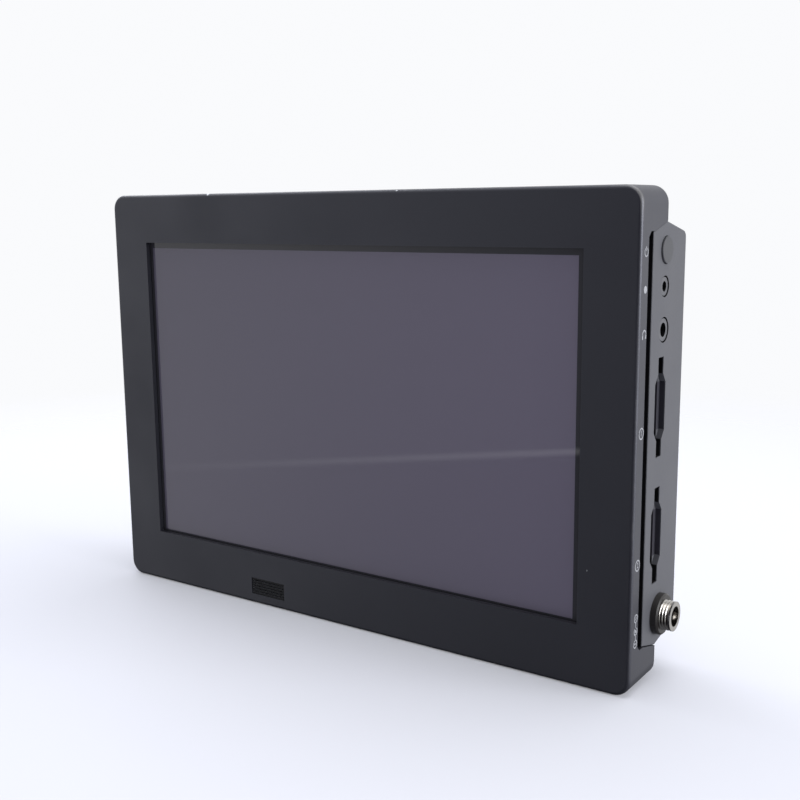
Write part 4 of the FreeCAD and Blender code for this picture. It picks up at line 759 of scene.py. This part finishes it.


# Painted shade: black on the front edge in the gap, in the card slots and the jack holes, and dark in the
# finger scoops.
shaded_front_edge = (plate_low - Vector((MARGIN, MARGIN, MARGIN)),
              Vector((plate_high.x - MARGIN, plate_low.y + MARGIN, plate_high.z)), PAINTED_SHADE_BLACK)
painted_shade_places = [shaded_front_edge]
for node in ("upper_card_socket", "lower_card_socket"):
    painted_shade_places.append(recess(node, CARD_SLOT, CARD_SLOT_LENGTH, MARGIN, PAINTED_SHADE_BLACK))
    painted_shade_places.append(recess(node, SCOOP_WIDTH, SCOOP_FLAT, MARGIN, SCOOP_SHADE))
for node, hole in (("remote_jack", REMOTE_HOLE), ("headphone_jack", PHONES_HOLE)):
    painted_shade_places.append(recess(node, hole, hole, JACK_LIP, PAINTED_SHADE_BLACK))
plate_plastic = moulded("plate_plastic", CASE_GREY, rough=(0.48, 0.62), grain=0.45 * MM, depth=0.03 * MM,
                        worn="right_port_plate", wear_width=0.6 * MM, specular=0.35, painted=painted_shade_places)
dress(plate_plastic, "right_port_plate")
button_grey = moulded("button_grey", scaled(CASE_GREY, 0.62), rough=(0.4, 0.52), grain=0.3 * MM,
                      depth=0.012 * MM)
dress(button_grey, "power_button")


def jack_finish(name, node, bore):
    """Grey moulded jack barrel with painted shade, in black, inside its bore."""
    material, tree, shader = new_finish(name)
    spot = add_node(tree, "ShaderNodeTexCoord").outputs["Object"]
    offset = vector_node(tree, "SUBTRACT", spot, middle_of(node))
    radius = vector_node(tree, "LENGTH", vector_node(tree, "MULTIPLY", offset, (0, 1, 1)))
    # Painted shade: the bore is black.
    shaded_bore = math_node(tree, "LESS_THAN", radius, bore + EASE)
    grain = group_node(tree, surface_grain, Grain_Size=0.3 * MM, Patch_Size=4 * MM, Smooth=0.35, Rough=0.5)
    tree.links.new(blend_colour(tree, shaded_bore, CASE_GREY, BORE_SHADE), shader.inputs["Base Color"])
    tree.links.new(grain["Roughness"], shader.inputs["Roughness"])
    bump(tree, shader, grain["Height"], 0.01 * MM)
    return material


dress(jack_finish("phones_barrel", "headphone_jack", PHONES_BORE), "headphone_jack")
dress(jack_finish("remote_barrel", "remote_jack", REMOTE_BORE), "remote_jack")


# Card sockets: folded steel shells on the board behind the slots, each with a black push-push slide
# and a small spring at its end.
socket_steel = metal("socket_steel", (0.1, 0.1, 0.105), rough=(0.35, 0.5), stretch=(0.1, 1, 1))
dress(socket_steel, "upper_card_socket", "lower_card_socket")
for level in ("upper", "lower"):
    coil_spring(f"{level}_card_spring", f"{level}_card_slide", (1, 0, 0),
                radius=0.75 * MM, wire=0.18 * MM, turns=7)


# Power inlet: a nickel plated brass barrel with a locking thread and a centre pin, held to the plate
# by a black ring nut.
nickel = metal("nickel_plate", (0.5, 0.48, 0.45), rough=(0.12, 0.26), stretch=(5, 1, 1))
dress(nickel, "dc_jack", "dc_contact")
nut_black = moulded("nut_black", (0.02, 0.018, 0.017), rough=(0.3, 0.42), grain=0.3 * MM, depth=0.006 * MM,
                    worn="dc_nut", wear_width=0.4 * MM)
dress(nut_black, "dc_nut")


# Printed marks: plain pictograms in pale grey ink on the frame's right side, in front of the shadow
# gap, one beside each port: power, a dot, an ear piece, two numbers and the inlet's two poles.
INK = (0.3, 0.305, 0.32)
INK_THICKNESS = 0.03 * MM
MARK_Y = -5.35 * MM
STROKE = 0.32 * MM
ARC_STEP = math.radians(7.5)
DOT_POINTS = 32
DIGIT_DROP = 4.7 * MM
DIGIT_SIZE = 2.0 * MM
DIGIT_RING = 1.35 * MM
POLE_DROP = 3.4 * MM
mark_x = frame_high.x
marks = bmesh.new()


def mark_strip(points):
    """A stroke along points in the side face, given as (towards the back, up) from the face's origin."""
    pairs = []
    for k, point in enumerate(points):
        before = Vector(points[max(k - 1, 0)])
        after = Vector(points[min(k + 1, len(points) - 1)])
        run = (after - before).normalized()
        aside = Vector((-run.y, run.x)) * STROKE / 2
        pairs.append([marks.verts.new((mark_x, point[0] + side * aside.x, point[1] + side * aside.y))
                      for side in (-1, 1)])
    for first, second in zip(pairs, pairs[1:]):
        marks.faces.new((first[0], first[1], second[1], second[0]))


def mark_arc(z, radius, start, end):
    """A round stroke between two angles, counted from straight up towards the back."""
    steps = max(2, round(abs(end - start) / ARC_STEP))
    angles = [start + (end - start) * k / steps for k in range(steps + 1)]
    mark_strip([(MARK_Y + radius * math.sin(a), z + radius * math.cos(a)) for a in angles])


def mark_dot(z, radius):
    """A filled round mark."""
    angles = [math.tau * k / DOT_POINTS for k in range(DOT_POINTS)]
    places = [(mark_x, MARK_Y + radius * math.cos(a), z + radius * math.sin(a)) for a in angles]
    marks.faces.new([marks.verts.new(place) for place in places])


def mark_block(y, z, width, height):
    """A filled upright rectangle."""
    corners = ((-1, -1), (1, -1), (1, 1), (-1, 1))
    places = [(mark_x, y + i * width / 2, z + k * height / 2) for i, k in corners]
    marks.faces.new([marks.verts.new(place) for place in places])


power_z = middle_of("power_button").z
mark_arc(power_z, 1.05 * MM, math.radians(38), math.radians(322))
mark_strip([(MARK_Y, power_z + 0.25 * MM), (MARK_Y, power_z + 1.35 * MM)])
mark_dot(middle_of("remote_jack").z, 0.95 * MM)
phones_z = middle_of("headphone_jack").z
mark_arc(phones_z, 1.1 * MM, math.radians(-95), math.radians(95))
for side in (-1, 1):
    mark_block(MARK_Y + side * 0.95 * MM, phones_z - 0.5 * MM, 0.55 * MM, 1.1 * MM)
for digit, node in (("1", "upper_card_socket"), ("2", "lower_card_socket")):
    digit_z = middle_of(node).z - DIGIT_DROP
    mark_arc(digit_z, DIGIT_RING, 0, math.tau)
    figure = bpy.data.curves.new("digit", "FONT")
    figure.body = digit
    figure.size = DIGIT_SIZE
    figure.align_x = "CENTER"
    figure.align_y = "CENTER"
    writer = bpy.data.objects.new("digit", figure)
    scene.collection.objects.link(writer)
    flat = bpy.data.meshes.new_from_object(writer.evaluated_get(bpy.context.evaluated_depsgraph_get()))
    bpy.data.objects.remove(writer)
    upright = Matrix.Rotation(math.radians(90), 4, "Z") @ Matrix.Rotation(math.radians(90), 4, "X")
    flat.transform(Matrix.Translation((mark_x, MARK_Y, digit_z)) @ upright)
    marks.from_mesh(flat)
inlet_z = middle_of("dc_jack").z
mark_arc(inlet_z, 0.95 * MM, math.radians(35), math.radians(325))
mark_dot(inlet_z, 0.42 * MM)
for side in (-1, 1):
    pole_z = inlet_z + side * POLE_DROP
    mark_strip([(MARK_Y, inlet_z + side * 0.95 * MM), (MARK_Y, inlet_z + side * 2.4 * MM)])
    mark_arc(pole_z, 1.0 * MM, 0, math.tau)
    mark_strip([(MARK_Y - 0.55 * MM, pole_z), (MARK_Y + 0.55 * MM, pole_z)])
mark_strip([(MARK_Y, inlet_z + POLE_DROP - 0.55 * MM), (MARK_Y, inlet_z + POLE_DROP + 0.55 * MM)])

bmesh.ops.recalc_face_normals(marks, faces=marks.faces)
for face in marks.faces:
    if face.normal.x < 0:
        face.normal_flip()
grown = bmesh.ops.extrude_face_region(marks, geom=marks.faces[:], use_keep_orig=True)
raised = [item for item in grown["geom"] if isinstance(item, bmesh.types.BMVert)]
bmesh.ops.translate(marks, verts=raised, vec=(INK_THICKNESS, 0, 0))
bmesh.ops.recalc_face_normals(marks, faces=marks.faces)
mark_mesh = bpy.data.meshes.new("side_marks")
marks.to_mesh(mark_mesh)
marks.free()
mark_mesh.materials.append(moulded("mark_ink", INK, rough=(0.5, 0.65), grain=0.1 * MM, depth=0.002 * MM))
side_marks = bpy.data.objects.new("side_marks", mark_mesh)
scene.collection.objects.link(side_marks)
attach(side_marks, "case")


# Left port plate: the same plastic, with two coaxial jacks, two digital video sockets, two round
# audio sockets and a data socket. The video tongues carry rows of gold contacts.
TONGUE_BLACK = (0.016, 0.016, 0.018)
CONTACT_GOLD = (0.7, 0.5, 0.2)
CONTACT_PITCH = 1.0 * MM
CONTACT_SHARE = 0.5

left_plastic = moulded("left_plate_plastic", CASE_GREY, rough=(0.48, 0.62), grain=0.45 * MM, depth=0.03 * MM,
                       worn="left_port_plate", wear_width=0.6 * MM, specular=0.35)
dress(left_plastic, "left_port_plate")
dress(nickel, "coax_in_jack", "coax_out_jack", "coax_nuts")
insulator_white = moulded("insulator_white", (0.72, 0.71, 0.67), rough=(0.4, 0.5), grain=0.3 * MM,
                          depth=0.005 * MM)
dress(insulator_white, "coax_insulators")
shell_steel = metal("shell_steel", (0.5, 0.5, 0.51), rough=(0.25, 0.4), stretch=(0.1, 1, 1))
dress(shell_steel, "video_in_socket", "video_out_socket", "data_socket")
audio_black = moulded("audio_black", (0.018, 0.018, 0.02), rough=(0.35, 0.5), grain=0.3 * MM, depth=0.01 * MM)
dress(audio_black, "audio_one_socket", "audio_two_socket")

contacts, tree, shader = new_finish("tongue_contacts")
spot = add_node(tree, "ShaderNodeTexCoord").outputs["Object"]
along = add_node(tree, "ShaderNodeSeparateXYZ", {0: spot}).outputs["Z"]
stripe = math_node(tree, "FRACT", math_node(tree, "DIVIDE", along, CONTACT_PITCH))
stripe = math_node(tree, "LESS_THAN", stripe, CONTACT_SHARE)
wiped = group_node(tree, surface_grain, Grain_Size=0.2 * MM, Patch_Size=3 * MM, Smooth=0.25, Rough=0.4)
tree.links.new(blend_colour(tree, stripe, TONGUE_BLACK, CONTACT_GOLD), shader.inputs["Base Color"])
tree.links.new(stripe, shader.inputs["Metallic"])
tree.links.new(wiped["Roughness"], shader.inputs["Roughness"])
dress(contacts, "video_tongues")
